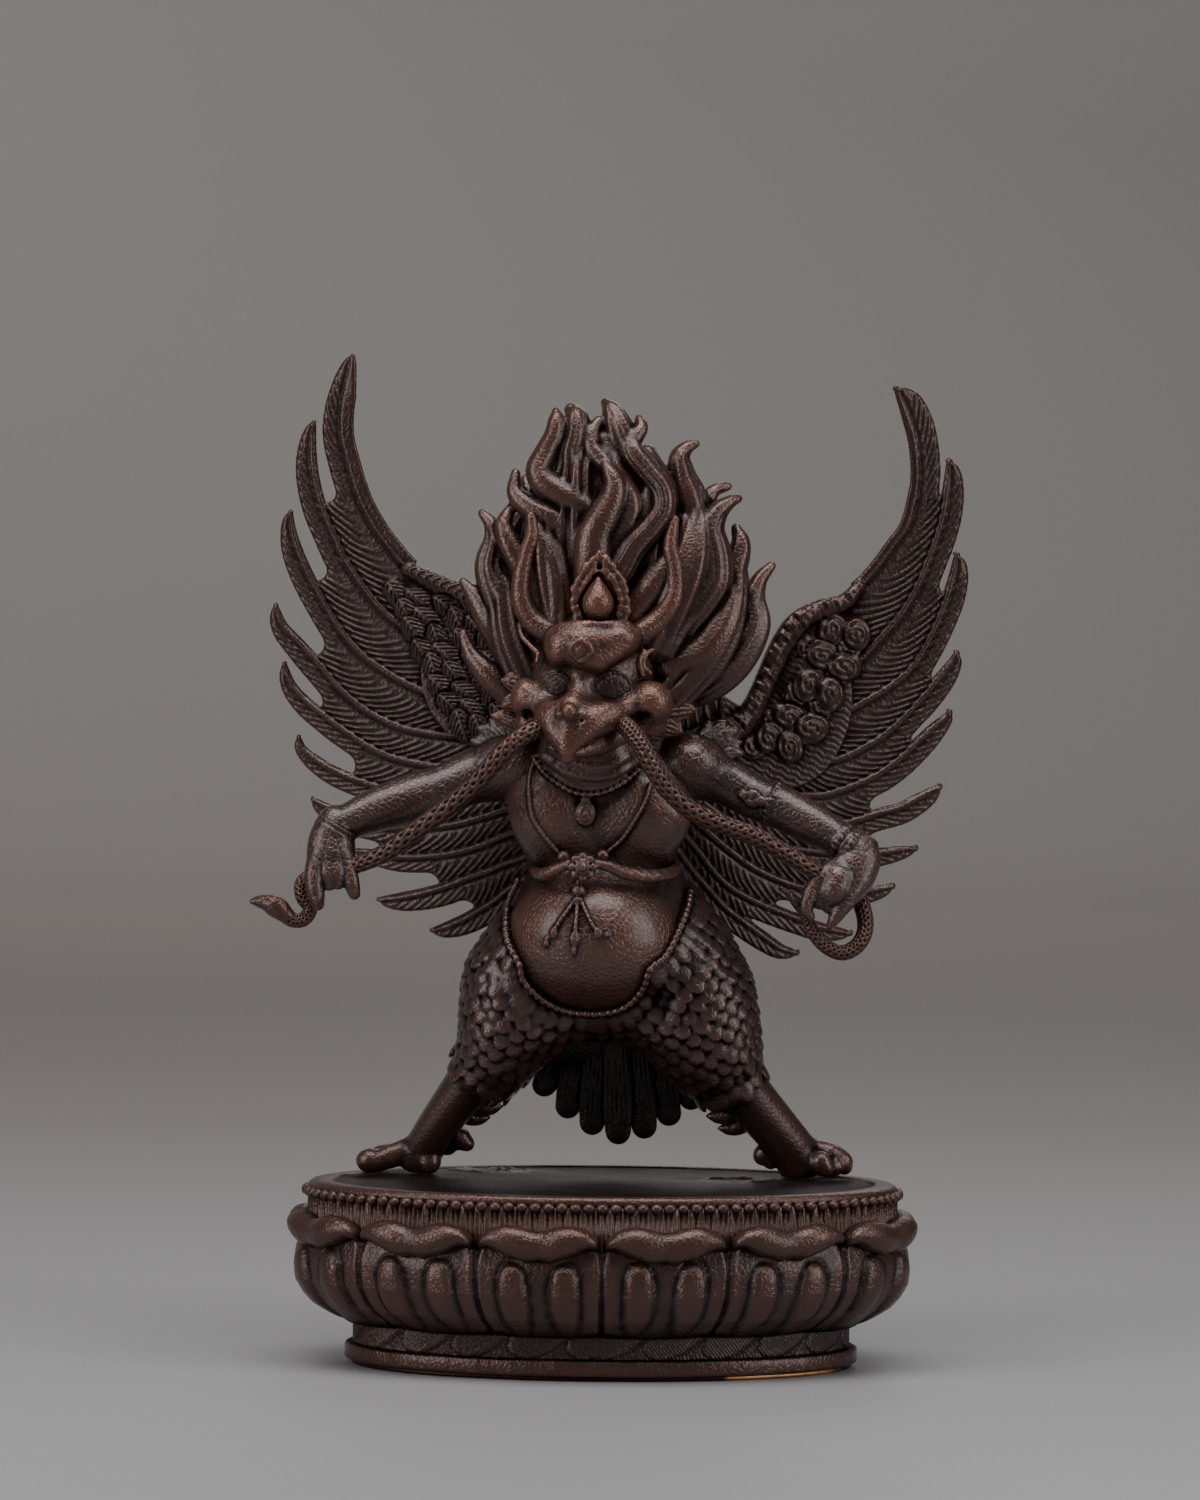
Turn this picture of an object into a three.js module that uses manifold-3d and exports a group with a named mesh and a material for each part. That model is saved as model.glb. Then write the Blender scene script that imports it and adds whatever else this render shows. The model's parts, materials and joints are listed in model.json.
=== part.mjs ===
// Garuda on a lotus plinth: a small lost-wax cast figure of a horned bird-man with a snake in
// its beak and hands, the hollow cast plinth it stands on, and the thin plate that seals the
// plinth from below. Millimetres, +Z up. The figure faces -Y, and the origin is the middle of
// the plate's underside.

import * as THREE from "three";
import { mergeVertices } from "three/addons/utils/BufferGeometryUtils.js";
import Module from "manifold-3d";

const wasm = await Module();
wasm.setup();

// Figure
const figureHeight = 104.4; // soles to the tip of the higher wing
const snakeGirth = 1.25; // radius of the snake's body
const featherThickness = 0.75; // half of a flight feather at its shaft
const beadGirth = 0.55; // radius of the strung beads

// Plinth
const plinthHeight = 23; // table to the surface the feet stand on
const sideMargin = 4.8; // outermost claw to the rim of the top
const backMargin = 7.3; // heel to the rim of the top
const beadRoll = 0.8; // radius of the beaded roll around the top
const lipRelief = 4.4; // how far a petal's curled lip stands out
const petalTaper = 5.6; // how much the lotus narrows down to its neck
const neckHeight = 3;
const flangeHeight = 2;
const flangeStep = 1.3; // how far the foot flange stands out from the neck
const wall = 1.6; // cast wall of the plinth
const petalCount = 12;

// Sealing plate
const plateThickness = 0.6;
const plateInset = 0.7; // plate's edge to the edge of the flange

// The figure's pose and carving are drawn on a figure 104.4 high, so they are shares of its height
const drawnHeight = 104.4;
const unit = figureHeight / drawnHeight;
const place = (x, y, z) => new THREE.Vector3(x * unit, y * unit, plinthHeight + z * unit);
const front = [0, -1, 0];
const mix = THREE.MathUtils.lerp;

// Plain solids

function solid(geometry) {
  const bare = new THREE.BufferGeometry();
  bare.setAttribute("position", geometry.getAttribute("position"));
  bare.setIndex(geometry.getIndex());
  const merged = mergeVertices(bare, 1e-5);
  return new wasm.Manifold(
    new wasm.Mesh({
      numProp: 3,
      vertProperties: new Float32Array(merged.getAttribute("position").array),
      triVerts: new Uint32Array(merged.getIndex().array),
    }),
  );
}

// Skins a list of rings, each with the same number of points, and closes both ends on a point
function skin(rings, start, end) {
  const sides = rings[0].length;
  const points = [start, ...rings.flat(), end];
  const at = (ring, side) => 1 + ring * sides + (side % sides);
  const faces = [];
  for (let side = 0; side < sides; side++) {
    faces.push(0, at(0, side + 1), at(0, side));
    for (let ring = 0; ring + 1 < rings.length; ring++) {
      faces.push(at(ring, side), at(ring, side + 1), at(ring + 1, side));
      faces.push(at(ring, side + 1), at(ring + 1, side + 1), at(ring + 1, side));
    }
    faces.push(points.length - 1, at(rings.length - 1, side), at(rings.length - 1, side + 1));
  }
  const geometry = new THREE.BufferGeometry().setFromPoints(points);
  geometry.setIndex(faces);
  return geometry;
}

// An oval blob, given by its middle and its three half-sizes
function blob([x, y, z], [across, deep, high], sides = 10) {
  const geometry = new THREE.SphereGeometry(unit, sides, Math.round(sides * 0.7));
  geometry.rotateX(Math.PI / 2);
  geometry.scale(across, deep, high);
  const middle = place(x, y, z);
  geometry.translate(middle.x, middle.y, middle.z);
  return solid(geometry);
}

// A smooth line through stations of [x, y, z, half-width, half-depth], with a frame at each share
// of its length: the width runs across the facing direction and the depth runs along it
function track(stations, facing) {
  const line = new THREE.CatmullRomCurve3(stations.map(([x, y, z]) => place(x, y, z)));
  const girths = new THREE.CatmullRomCurve3(
    stations.map(([, , , width, depth = width]) => new THREE.Vector3(width, depth, 0)),
  );
  return (share) => {
    const centre = line.getPoint(share);
    const along = line.getTangent(share);
    const side = along.clone().cross(new THREE.Vector3(...facing)).normalize();
    const face = side.clone().cross(along);
    const girth = girths.getPoint(share).multiplyScalar(unit);
    return { centre, along, side, face, width: girth.x, depth: girth.y };
  };
}

function ringPoint(frame, turn, grow = 1) {
  return frame.centre
    .clone()
    .addScaledVector(frame.side, frame.width * grow * Math.cos(turn))
    .addScaledVector(frame.face, -frame.depth * grow * Math.sin(turn));
}

// A limb, lock, horn or finger: an oval section swept along its stations, with rounded ends
function limb(stations, { sides = 6, steps = 2, facing = front } = {}) {
  const frameAt = track(stations, facing);
  const count = steps * (stations.length - 1);
  const rings = [];
  for (let i = 0; i <= count; i++) {
    const frame = frameAt(i / count);
    rings.push(Array.from({ length: sides }, (_, j) => ringPoint(frame, (j / sides) * 2 * Math.PI)));
  }
  const first = frameAt(0);
  const last = frameAt(1);
  const roundness = 0.6;
  return solid(
    skin(
      rings,
      first.centre.addScaledVector(first.along, -roundness * Math.min(first.width, first.depth)),
      last.centre.addScaledVector(last.along, roundness * Math.min(last.width, last.depth)),
    ),
  );
}

// A thigh clothed in tiers of small feathers: each tier flares to a scalloped lip over the next
function featheredLimb(stations, { sides = 10, tiers = 6, flare = 1.07 } = {}) {
  const frameAt = track(stations, front);
  const rings = [];
  const droop = 0.45; // how far a feather's tip hangs over the next tier, as a share of a tier
  for (let tier = 0; tier < tiers; tier++) {
    const tuck = [];
    const lip = [];
    for (let j = 0; j < sides; j++) {
      const turn = (j / sides) * 2 * Math.PI;
      const hangs = (j + tier) % 2 === 0 ? droop : 0;
      tuck.push(ringPoint(frameAt(tier / tiers), turn));
      lip.push(ringPoint(frameAt(Math.min(1, (tier + 1 + hangs) / tiers)), turn, hangs ? flare : 1));
    }
    rings.push(tuck, lip);
  }
  const first = frameAt(0);
  const last = frameAt(1);
  return solid(skin(rings, first.centre, last.centre.addScaledVector(last.along, 0.5 * last.depth)));
}

// A fan of feathers in one skin. Each shaft gives a point [x, z] at a share of its length. A
// feather is thick along its shaft, neighbours meet in a valley, and their tips stand free past
// the notch between them. The fan spreads from its first shaft to its last
function fan(shafts, { rows = 5, notch = 0.8, margin = 1.6, depthAt, mirrored = false }) {
  const valley = 0.45; // thickness of a valley as a share of a shaft's
  const beyond = (shaft, share, side) => {
    const [x, z] = shaft(share);
    const ahead = shaft(Math.max(share, 0.02));
    const behind = shaft(Math.max(share, 0.02) - 0.02);
    const along = new THREE.Vector2(ahead[0] - behind[0], ahead[1] - behind[1]).normalize();
    const width = side * margin * Math.sqrt(1 - share);
    return [x + along.y * width, z - along.x * width];
  };
  const between = (one, other, share) => {
    const [a, b] = [one(share), other(share)];
    return [(a[0] + b[0]) / 2, (a[1] + b[1]) / 2];
  };
  const side = mirrored ? -1 : 1;
  const columns = [(share) => beyond(shafts[0], share, side)];
  shafts.forEach((shaft, i) => {
    columns.push(shaft);
    if (i + 1 < shafts.length) {
      columns.push((share) => between(shaft, shafts[i + 1], share * notch));
    }
  });
  columns.push((share) => beyond(shafts.at(-1), share, -side));

  const points = [];
  for (const face of [-1, 0.6]) {
    columns.forEach((column, i) => {
      for (let row = 0; row <= rows; row++) {
        const share = row / rows;
        const [x, z] = column(share);
        const onRim = row === 0 || row === rows || i === 0 || i + 1 === columns.length;
        const ridge = (featherThickness / unit) * mix(1.3, 0.7, share) * (i % 2 ? 1 : valley);
        points.push(place(x, depthAt(x, z) + (onRim ? 0 : face * ridge), z));
      }
    });
  }
  const at = (layer, column, row) => (layer * columns.length + column) * (rows + 1) + row;
  const faces = [];
  for (let layer = 0; layer < 2; layer++) {
    for (let column = 0; column + 1 < columns.length; column++) {
      for (let row = 0; row < rows; row++) {
        const a = at(layer, column, row);
        const b = at(layer, column, row + 1);
        const c = at(layer, column + 1, row);
        const d = at(layer, column + 1, row + 1);
        const turned = (layer === 1) !== mirrored;
        faces.push(...(turned ? [a, c, b, b, c, d] : [a, b, c, b, d, c]));
      }
    }
  }
  const geometry = new THREE.BufferGeometry().setFromPoints(points);
  geometry.setIndex(faces);
  return solid(geometry);
}

// Torso

function torso() {
  const trunk = [
    [-0.5, 3.4, 17.6, 5, 5],
    [-0.6, 2.6, 23, 11, 9],
    [-0.9, 1.6, 31, 11.4, 8.8],
    [-1.2, 1.2, 38.5, 9.6, 7.6],
    [-1.2, 1.2, 44, 10.4, 7.4],
    [-1.2, 1.2, 49, 12.2, 7.2],
    [-1.4, 1.4, 53.4, 10, 6.2],
    [-1.8, -0.4, 57.4, 6.2, 5.6],
    [-1.8, -1.6, 61, 5.8, 5.4],
  ];
  return [
    limb(trunk, { sides: 11, steps: 1 }),
    blob([-1, -1.6, 31.2], [11.4, 10, 10.8], 11), // belly
    blob([-6.4, -3.6, 47], [5.6, 4, 4.6], 8), // breast
    blob([5, -3.4, 46.8], [5.8, 4, 4.6], 8),
  ];
}

// Head

function head() {
  const parts = [
    blob([-1.6, -2.6, 64.5], [7.6, 6.8, 8.2], 9),
    blob([-2.6, -8, 67.6], [6.3, 3, 3], 7), // brow
    blob([-8.6, -6.8, 61.2], [3, 3.2, 3], 6), // cheeks
    blob([5.8, -6.4, 61], [3.5, 3.4, 3.3], 6),
    blob([-6.4, -8.6, 64.6], [2.1, 1.6, 1.7], 5), // eyes
    blob([0.5, -8.8, 64.4], [2.3, 1.6, 1.8], 5),
  ];
  const beak = [
    [-3.4, -9.4, 65.5, 1.6],
    [-4, -12.4, 62, 2.5],
    [-4.6, -14.2, 57.8, 2],
    [-5, -14, 54.6, 1],
    [-5, -13.2, 53, 0.4],
  ];
  const upperJaw = [
    [-9, -7, 59.6, 1.6, 2],
    [-7, -10.4, 59.2, 1.9, 2],
    [-4.2, -12, 58.6, 2.2, 2],
    [1, -10.6, 59, 2.2, 2],
    [6, -7, 59.4, 1.6, 2],
  ];
  const lowerBeak = [
    [-1.4, -5, 56, 4.4, 3.2],
    [-3, -9, 55.2, 3.2, 1.8],
    [-4.6, -12.2, 54, 1, 0.8],
  ];
  parts.push(limb(beak, { sides: 5, steps: 1 }), limb(upperJaw, { sides: 5, steps: 1, facing: [0, 0, 1] }));
  parts.push(limb(lowerBeak, { sides: 5, steps: 1, facing: [0, 0, 1] }));
  return parts;
}

function horns() {
  const left = [
    [-5.5, -4.5, 67.6, 1.7],
    [-9.4, -3.6, 69.4, 1.5],
    [-11.3, -3, 74.6, 1.2],
    [-11.1, -3, 79.6, 0.9],
    [-9.8, -3.2, 84.2, 0.4],
  ];
  const right = [
    [2.4, -4.5, 67.2, 1.8],
    [6.6, -3.6, 69.6, 1.6],
    [8.9, -3, 74.4, 1.2],
    [8.8, -3, 79, 0.9],
    [7.9, -3.2, 83.4, 0.4],
  ];
  return [limb(left, { sides: 5, steps: 1 }), limb(right, { sides: 5, steps: 1 })];
}

// Three leaf-shaped ears on each side of the head
function ears() {
  const tips = [
    [-12.9, 65.4], [-13.6, 61.7], [-12.9, 57.9],
    [10.8, 65], [11, 61.4], [9.8, 57],
  ];
  return tips.map(([x, z]) => {
    const root = mix(x, x < 0 ? -6 : 2.6, 0.72);
    return limb([[root, -2.4, mix(61.6, z, 0.4), 1.6, 1], [x, -1.2, z, 0.4, 0.4]], { sides: 4, steps: 1 });
  });
}

// The crown's leaf-shaped frame and the drop jewel on it
function crown() {
  const frame = [
    [-1.1, -5, 68.4, 4, 1.6],
    [-1.1, -6.2, 73, 4.3, 1.3],
    [-1, -5, 79.6, 0.8],
  ];
  const jewel = [
    [-1.1, -7, 71, 1],
    [-1.1, -7.4, 73, 1.8],
    [-1.1, -6.8, 76.4, 0.5],
  ];
  return [limb(frame, { steps: 1 }), limb(jewel, { sides: 5, steps: 1 })];
}

// Hair: flame-like locks. Each row is root x, root z, tip x, tip z, depth at the root, lean
// towards the back, bow to the left of its way up, S-shaped swing, and girth
function hair() {
  const locks = [
    [-2.1, 76, -0.9, 90.2, -4, 2, 0, 1.6, 2],
    [-3, 80, -6.7, 96.4, -1, 2, 4.2, 0.4, 2],
    [-3.6, 83, -5, 97, 1, 2, -0.6, 0.4, 1.7],
    [4.2, 80, -0.2, 97.7, 2, 3, 0.6, 1.2, 2.6],
    [1.5, 77, 3.6, 95.4, -1.4, 3, -4.4, 0.4, 2],
    [8, 75, 10.6, 92.3, 0, 4, 1.6, -1.8, 2.3],
    [6.6, 67, 16.2, 85.8, -1, 3, 1, -1.4, 2.1],
    [7.4, 72, 15, 87.4, 3, 3, -3.4, -0.8, 2.3],
    [7, 60, 20.5, 77.3, 2, 3, -1.8, -1.4, 2.6],
    [5.2, 75, 7.6, 87.6, -2, 2, -1.4, 1, 1.8],
    [-6.8, 65.3, -16, 83.4, 0, 3, 2, 0.4, 2.1],
    [-7.4, 72, -11.8, 88.7, 2, 2, 1, 0.4, 1.9],
    [-7, 60, -18.5, 74.8, 2, 3, -0.6, 0.4, 2.2],
    [-5, 75, -8.4, 86.6, -2.4, 2, 1.6, -0.6, 1.8],
  ];
  // Locks of the back of the head, in two rows
  const rows = [
    { count: 3, spread: 8, rootZ: 74, tipZ: 91, depth: 4 },
    { count: 4, spread: 11, rootZ: 65, tipZ: 79, depth: 5 },
  ];
  for (const { count, spread, rootZ, tipZ, depth } of rows) {
    for (let i = 0; i < count; i++) {
      const across = mix(-spread, spread, i / (count - 1));
      const bow = i % 2 ? 1.4 : -1.4;
      locks.push([across * 0.5, rootZ, across * 1.1, tipZ - Math.abs(across) * 0.4, depth, 5, bow, bow, 3.2]);
    }
  }
  const parts = [
    blob([0.2, 1.6, 77], [9, 6, 12], 8),
    blob([-0.6, 3, 67], [10.4, 6.6, 10], 8),
  ];
  for (const [rootX, rootZ, tipX, tipZ, depth, lean, bow, swing, girth] of locks) {
    const length = Math.hypot(tipX - rootX, tipZ - rootZ);
    const leftX = -(tipZ - rootZ) / length;
    const leftZ = (tipX - rootX) / length;
    const stations = [0, 0.34, 0.68, 1].map((share) => {
      const aside = bow * Math.sin(Math.PI * share) + swing * Math.sin(2 * Math.PI * share);
      const taper = girth * Math.sqrt(1.03 - share) * (0.8 + 0.4 * share);
      return [
        mix(rootX, tipX, share) + leftX * aside,
        depth + lean * share,
        mix(rootZ, tipZ, share) + leftZ * aside,
        taper,
        taper * 1.1,
      ];
    });
    parts.push(limb(stations, { sides: 4, steps: 1 }));
  }
  return parts;
}

// Arms and hands

function arms() {
  const left = [
    [-12.5, 1.2, 52.2, 4],
    [-17.6, 0.6, 49.8, 3.5],
    [-23, -0.6, 47.6, 3.1],
    [-29, -1.8, 45.4, 2.9],
    [-34, -3, 43, 2.2],
  ];
  const right = [
    [11, 1.2, 52.6, 4.2],
    [15.6, 0.8, 50.8, 3.7],
    [20.6, 0, 48.2, 3.3],
    [26, -1.4, 45.4, 3],
    [30.8, -3, 42.4, 2.3],
  ];
  return [limb(left, { steps: 1 }), limb(right, { steps: 1 })];
}

// A hand that hangs over the snake: a palm, four fingers spread from it, and a thumb
function hand({ wrist, knuckles, tips, thumb }) {
  const parts = [];
  const middle = [0, 1, 2].map((axis) => (knuckles[0][axis] + knuckles[1][axis]) / 2);
  parts.push(limb([[...wrist, 2, 1.8], [...middle, 3, 1.7]], { steps: 1 }));
  for (let finger = 0; finger < 4; finger++) {
    const share = finger / 3;
    const from = [0, 1, 2].map((axis) => mix(knuckles[0][axis], knuckles[1][axis], share));
    const to = [0, 1, 2].map((axis) => mix(tips[0][axis], tips[1][axis], share));
    parts.push(limb([[...from, 1], [...to, 0.8]], { sides: 4, steps: 1 }));
  }
  parts.push(limb([[...wrist, 1.3], [...thumb, 0.8]], { sides: 4, steps: 1 }));
  return parts;
}

function hands() {
  return [
    ...hand({
      wrist: [-34.2, -3, 42.8],
      knuckles: [[-36.4, -5, 39.4], [-31.6, -5.2, 40]],
      tips: [[-36.6, -8, 35.8], [-31.4, -7.4, 35.2]],
      thumb: [-30.6, -7, 38.6],
    }),
    ...hand({
      wrist: [30.8, -3, 42.2],
      knuckles: [[30.8, -6, 37.2], [26.2, -6, 38.8]],
      tips: [[28, -9.4, 33.2], [24.2, -8.8, 35.4]],
      thumb: [24.6, -8, 38],
    }),
  ];
}

// The snake: from each corner of the beak down to a hand, with its head on one side and its
// coiled tail on the other
function snake() {
  const girth = snakeGirth / unit;
  const headSide = [
    [-6.4, -9.4, 58.4], [-10.6, -12, 55.6], [-15.4, -11.8, 51.6], [-20.8, -10.8, 46],
    [-26, -10, 42], [-30.6, -9.6, 39.6], [-34, -9, 38.2], [-37, -8.6, 37.8],
    [-37.4, -8.4, 36.2], [-35.6, -8.4, 34.2], [-37.6, -8.2, 32.6], [-40, -8.2, 34],
  ];
  const tailSide = [
    [2.6, -9.4, 58.6], [3.4, -11.6, 54.4], [7.2, -12, 50], [11, -11.6, 46.8],
    [15.6, -11, 44.5], [20, -10.4, 42.4], [25.4, -10, 40], [29.6, -9.4, 38],
    [31.8, -9.2, 35.6], [32.4, -9.2, 32.6], [31.2, -9.2, 30], [29, -9.2, 29],
    [26.6, -9.2, 30.2], [25.2, -9.2, 32.8], [23.8, -9.2, 35.2], [22.6, -9, 37],
  ];
  const snout = [
    [-39, -8.2, 33.2, girth],
    [-40.6, -8.2, 35, 1.5, 1.2],
    [-42.4, -8.2, 35.4, 1.2, 1],
    [-44.2, -8, 35.4, 0.6, 0.6],
  ];
  const thin = (share) => girth * (share > 0.75 ? mix(1, 0.55, (share - 0.75) * 4) : 1.1);
  return [
    limb(headSide.map((point) => [...point, girth]), { sides: 4, steps: 1 }),
    limb(tailSide.map((point, i) => [...point, thin(i / (tailSide.length - 1))]), { sides: 4, steps: 1 }),
    limb(snout, { sides: 5, steps: 1, facing: [0, 0, 1] }),
  ];
}

// Legs, feet and tail

function legs() {
  const leftThigh = [
    [-5.4, 4, 34.5, 6.5, 6.5],
    [-8.4, 3.4, 27, 8.6, 8.4],
    [-11, 2.6, 20.5, 7.4, 7.6],
    [-13.2, 2, 15.6, 5.2, 6],
    [-14.4, 2, 12, 3.6, 4.2],
  ];
  const rightThigh = [
    [5.2, 4, 34.5, 6.5, 6.5],
    [8.8, 3.4, 27, 8.8, 8.4],
    [12, 2.6, 20.5, 7.8, 7.6],
    [14.4, 2, 15.6, 5.4, 6],
    [15.8, 2, 12, 3.8, 4.2],
  ];
  const leftShank = [
    [-14.6, 2.4, 14, 3.4],
    [-17.6, 4.6, 10, 2.8],
    [-21.4, 7.8, 6, 2.2],
    [-24.4, 10, 2, 2.1],
  ];
  const rightShank = [
    [15.6, 2.4, 14, 3.5],
    [18, 4.4, 10, 2.9],
    [21, 7, 6, 2.3],
    [23.6, 9, 2, 2.2],
  ];
  return [
    featheredLimb(leftThigh),
    featheredLimb(rightThigh),
    limb(leftShank, { steps: 1 }),
    limb(rightShank, { steps: 1 }),
  ];
}

// Bird's feet: toes from an ankle, each with a knuckle, a fleshy end and a claw
function feet() {
  const left = [[-24.4, 10, 1.8], [[-28.8, 8.4], [-24.2, 4.6], [-18.4, 7.6], [-24.6, 14]]];
  const right = [[23.6, 9, 1.8], [[29.8, 6.4], [23.4, 2.6], [18.6, 6.6], [25.6, 13]]];
  const parts = [];
  for (const [ankle, toes] of [left, right]) {
    for (const [x, y] of toes) {
      const reach = (share) => [mix(ankle[0], x, share), mix(ankle[1], y, share)];
      const toe = [
        [...ankle, 1.5],
        [...reach(0.6), 1.4, 1.2],
        [...reach(1), 1.1, 1.4],
        [...reach(1.45), 0.6, 0.35],
      ];
      parts.push(limb(toe, { sides: 5, steps: 1, facing: [0, 0, 1] }));
    }
  }
  return parts;
}

// Spur feathers behind each shank
function spurs() {
  const tips = [
    [-11.8, 6.4, 9.8], [-12.8, 7, 7.8], [-14.4, 8, 6.2],
    [11.6, 6.4, 9], [12.8, 7, 7], [14.6, 8, 5.2],
  ];
  return tips.map(([x, y, z]) => {
    const root = [x < 0 ? -17 : 17.4, 5.4, z + 2];
    return limb([
      [...root, 1, 0.7],
      [mix(root[0], x, 0.6), mix(root[1], y, 0.6), mix(root[2], z, 0.55), 1, 0.6],
      [x, y, z, 0.25, 0.25],
    ], { sides: 4, steps: 1 });
  });
}

// Tail: round-ended feathers fanned downwards from the small of the back
function tail() {
  const count = 7;
  const shafts = Array.from({ length: count }, (_, i) => {
    const spread = mix(-1, 1, i / (count - 1));
    return (share) => [
      0.6 + spread * mix(4, 9.6, Math.sqrt(share)),
      mix(22, 2.8 + 5.4 * spread * spread, share),
    ];
  });
  const depthAt = (x, z) => mix(12, 8, (z / 22) ** 2);
  return [fan(shafts, { rows: 3, notch: 0.88, margin: 1.4, depthAt })];
}

// Wings. Each row is a flight feather: root x, root z, tip x, tip z, and the heading in degrees
// with which it leaves the root and with which it ends
const wings = {
  left: {
    arm: [
      [-9, 5.6, 54, 3, 2.4], [-13, 7.4, 63, 2.8, 2], [-18.4, 9.2, 71.4, 2.3, 1.6],
      [-25.4, 11.4, 75.6, 1.2, 1.1],
    ],
    coverts: [[-15, 8, 42, 5, 1.6], [-19, 9, 55, 7.5, 1.6], [-20, 9.4, 65, 6.6, 1.5], [-22, 10.2, 72, 3.6, 1.2]],
    feathers: [
      [-19, 68.4, -32.6, 104.4, 140, 66],
      [-18, 61, -37.6, 95.2, 146, 78],
      [-16, 57, -40.4, 83.8, 158, 84],
      [-15, 52.6, -42.4, 72, 168, 104],
      [-14, 49, -41.2, 64.6, 174, 108],
      [-13, 45.4, -39.4, 55.4, 176, 128],
      [-12, 42.4, -37.6, 47.2, 182, 148],
      [-11, 41, -32.6, 40.6, 186, 164],
      [-10, 40.6, -29, 37.6, 196, 176],
      [-9, 40, -28.8, 34.2, 208, 184],
      [-8, 39, -22.6, 30.2, 224, 196],
    ],
  },
  right: {
    arm: [
      [8, 5.6, 52, 3, 2.4], [14, 7.4, 55.4, 2.6, 2], [19.4, 9.6, 61.6, 2, 1.6],
      [22.4, 10.6, 67.6, 1.9, 1.5], [28.6, 12.8, 72, 1.3, 1.1],
    ],
    coverts: [[14, 8, 42, 5, 1.6], [20, 9.6, 52, 7, 1.6], [25, 11.4, 61, 6.6, 1.5], [29, 12.8, 68, 3.6, 1.2]],
    feathers: [
      [23, 63.4, 35, 100.4, 41, 121],
      [22, 58.6, 43.4, 90.8, 32, 92],
      [20, 55, 45.9, 78.8, 20, 84],
      [18, 52, 45.9, 67.2, 8, 60],
      [17, 49.4, 44.8, 59.6, 0, 60],
      [16, 47, 43.1, 49.5, -8, 42],
      [15, 45, 39.7, 41.4, -18, 20],
      [13, 43, 36.9, 36.8, -26, 14],
      [11, 42, 31.5, 30.4, -40, -6],
      [9, 40, 24.6, 28, -48, -14],
    ],
  },
};

// Wings sweep back the further out they go
const wingDepth = (x) => 7 + 0.35 * Math.max(0, Math.abs(x) - 12);

function shaftOf([rootX, rootZ, tipX, tipZ, leave, end]) {
  const length = Math.hypot(tipX - rootX, tipZ - rootZ);
  const heading = (degrees) => {
    const angle = THREE.MathUtils.degToRad(degrees);
    return new THREE.Vector2(Math.cos(angle), Math.sin(angle));
  };
  const curve = new THREE.CubicBezierCurve(
    new THREE.Vector2(rootX, rootZ),
    new THREE.Vector2(rootX, rootZ).addScaledVector(heading(leave), length * 0.42),
    new THREE.Vector2(tipX, tipZ).addScaledVector(heading(end), -length * 0.38),
    new THREE.Vector2(tipX, tipZ),
  );
  return (share) => curve.getPoint(share).toArray();
}

function wing({ arm, coverts, feathers }) {
  const outward = Math.sign(feathers[0][2]);
  return [
    limb(arm, { sides: 5, steps: 1 }),
    limb(coverts, { steps: 1, facing: [outward * 0.33, -0.94, 0] }),
    fan(feathers.map(shaftOf), { margin: 2, depthAt: wingDepth, mirrored: outward > 0 }),
  ];
}

// Jewellery: strung beads over the shoulders to a rosette, its tassels, a pendant and the beaded
// hem where the feathers meet the belly
function jewellery() {
  const girth = beadGirth / unit;
  const strings = [
    [[-9.2, -3.4, 52.4], [-8.4, -6.8, 47], [-5.8, -8.4, 42], [-2.6, -9.6, 38.4]],
    [[7, -3.4, 52], [5.4, -6.8, 46.8], [1.4, -8.6, 41.8], [-2.6, -9.6, 38.4]],
    [[-2.6, -9.8, 38], [-4.4, -11.4, 33.4], [-6, -11, 27.4]],
    [[-2.6, -9.8, 38], [-2.6, -11.9, 33], [-2.4, -11.6, 26.6]],
    [[-2.6, -9.8, 38], [-0.8, -11.7, 33.4], [0.6, -11.6, 28.4]],
  ];
  const hem = Array.from({ length: 9 }, (_, i) => {
    const turn = mix(Math.PI * 0.94, Math.PI * 2.06, i / 8);
    return [-1 + 11.6 * Math.cos(turn), -3.4 + 7.4 * Math.sin(turn) * Math.abs(Math.sin(turn)), 33 + 12 * Math.sin(turn)];
  });
  return [
    ...strings.map((string) => limb(string.map((point) => [...point, girth]), { sides: 3, steps: 1 })),
    limb(hem.map((point) => [...point, girth * 1.3]), { sides: 3, steps: 1 }),
    blob([-2.6, -9.6, 38.2], [1.5, 1.2, 1.5], 5),
    blob([-1.4, -6.2, 46.6], [1.1, 1, 1.6], 5),
  ];
}

// Joined forms can trap a pocket of air between them. The casting is solid there, so only the
// shells that face outwards are kept
function withoutPockets(vertices, faces) {
  const parent = Array.from({ length: vertices.length / 3 }, (_, i) => i);
  const shellOf = (i) => {
    while (parent[i] !== i) {
      parent[i] = parent[parent[i]];
      i = parent[i];
    }
    return i;
  };
  const corner = (i) => new THREE.Vector3().fromArray(vertices, 3 * i);
  const volumes = new Map();
  for (let i = 0; i < faces.length; i += 3) {
    parent[shellOf(faces[i + 1])] = shellOf(faces[i]);
    parent[shellOf(faces[i + 2])] = shellOf(faces[i]);
  }
  for (let i = 0; i < faces.length; i += 3) {
    const [a, b, c] = [corner(faces[i]), corner(faces[i + 1]), corner(faces[i + 2])];
    const shell = shellOf(faces[i]);
    volumes.set(shell, (volumes.get(shell) ?? 0) + a.dot(b.cross(c)));
  }
  return faces.filter((_, i) => volumes.get(shellOf(faces[i - (i % 3)])) > 0);
}

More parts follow.
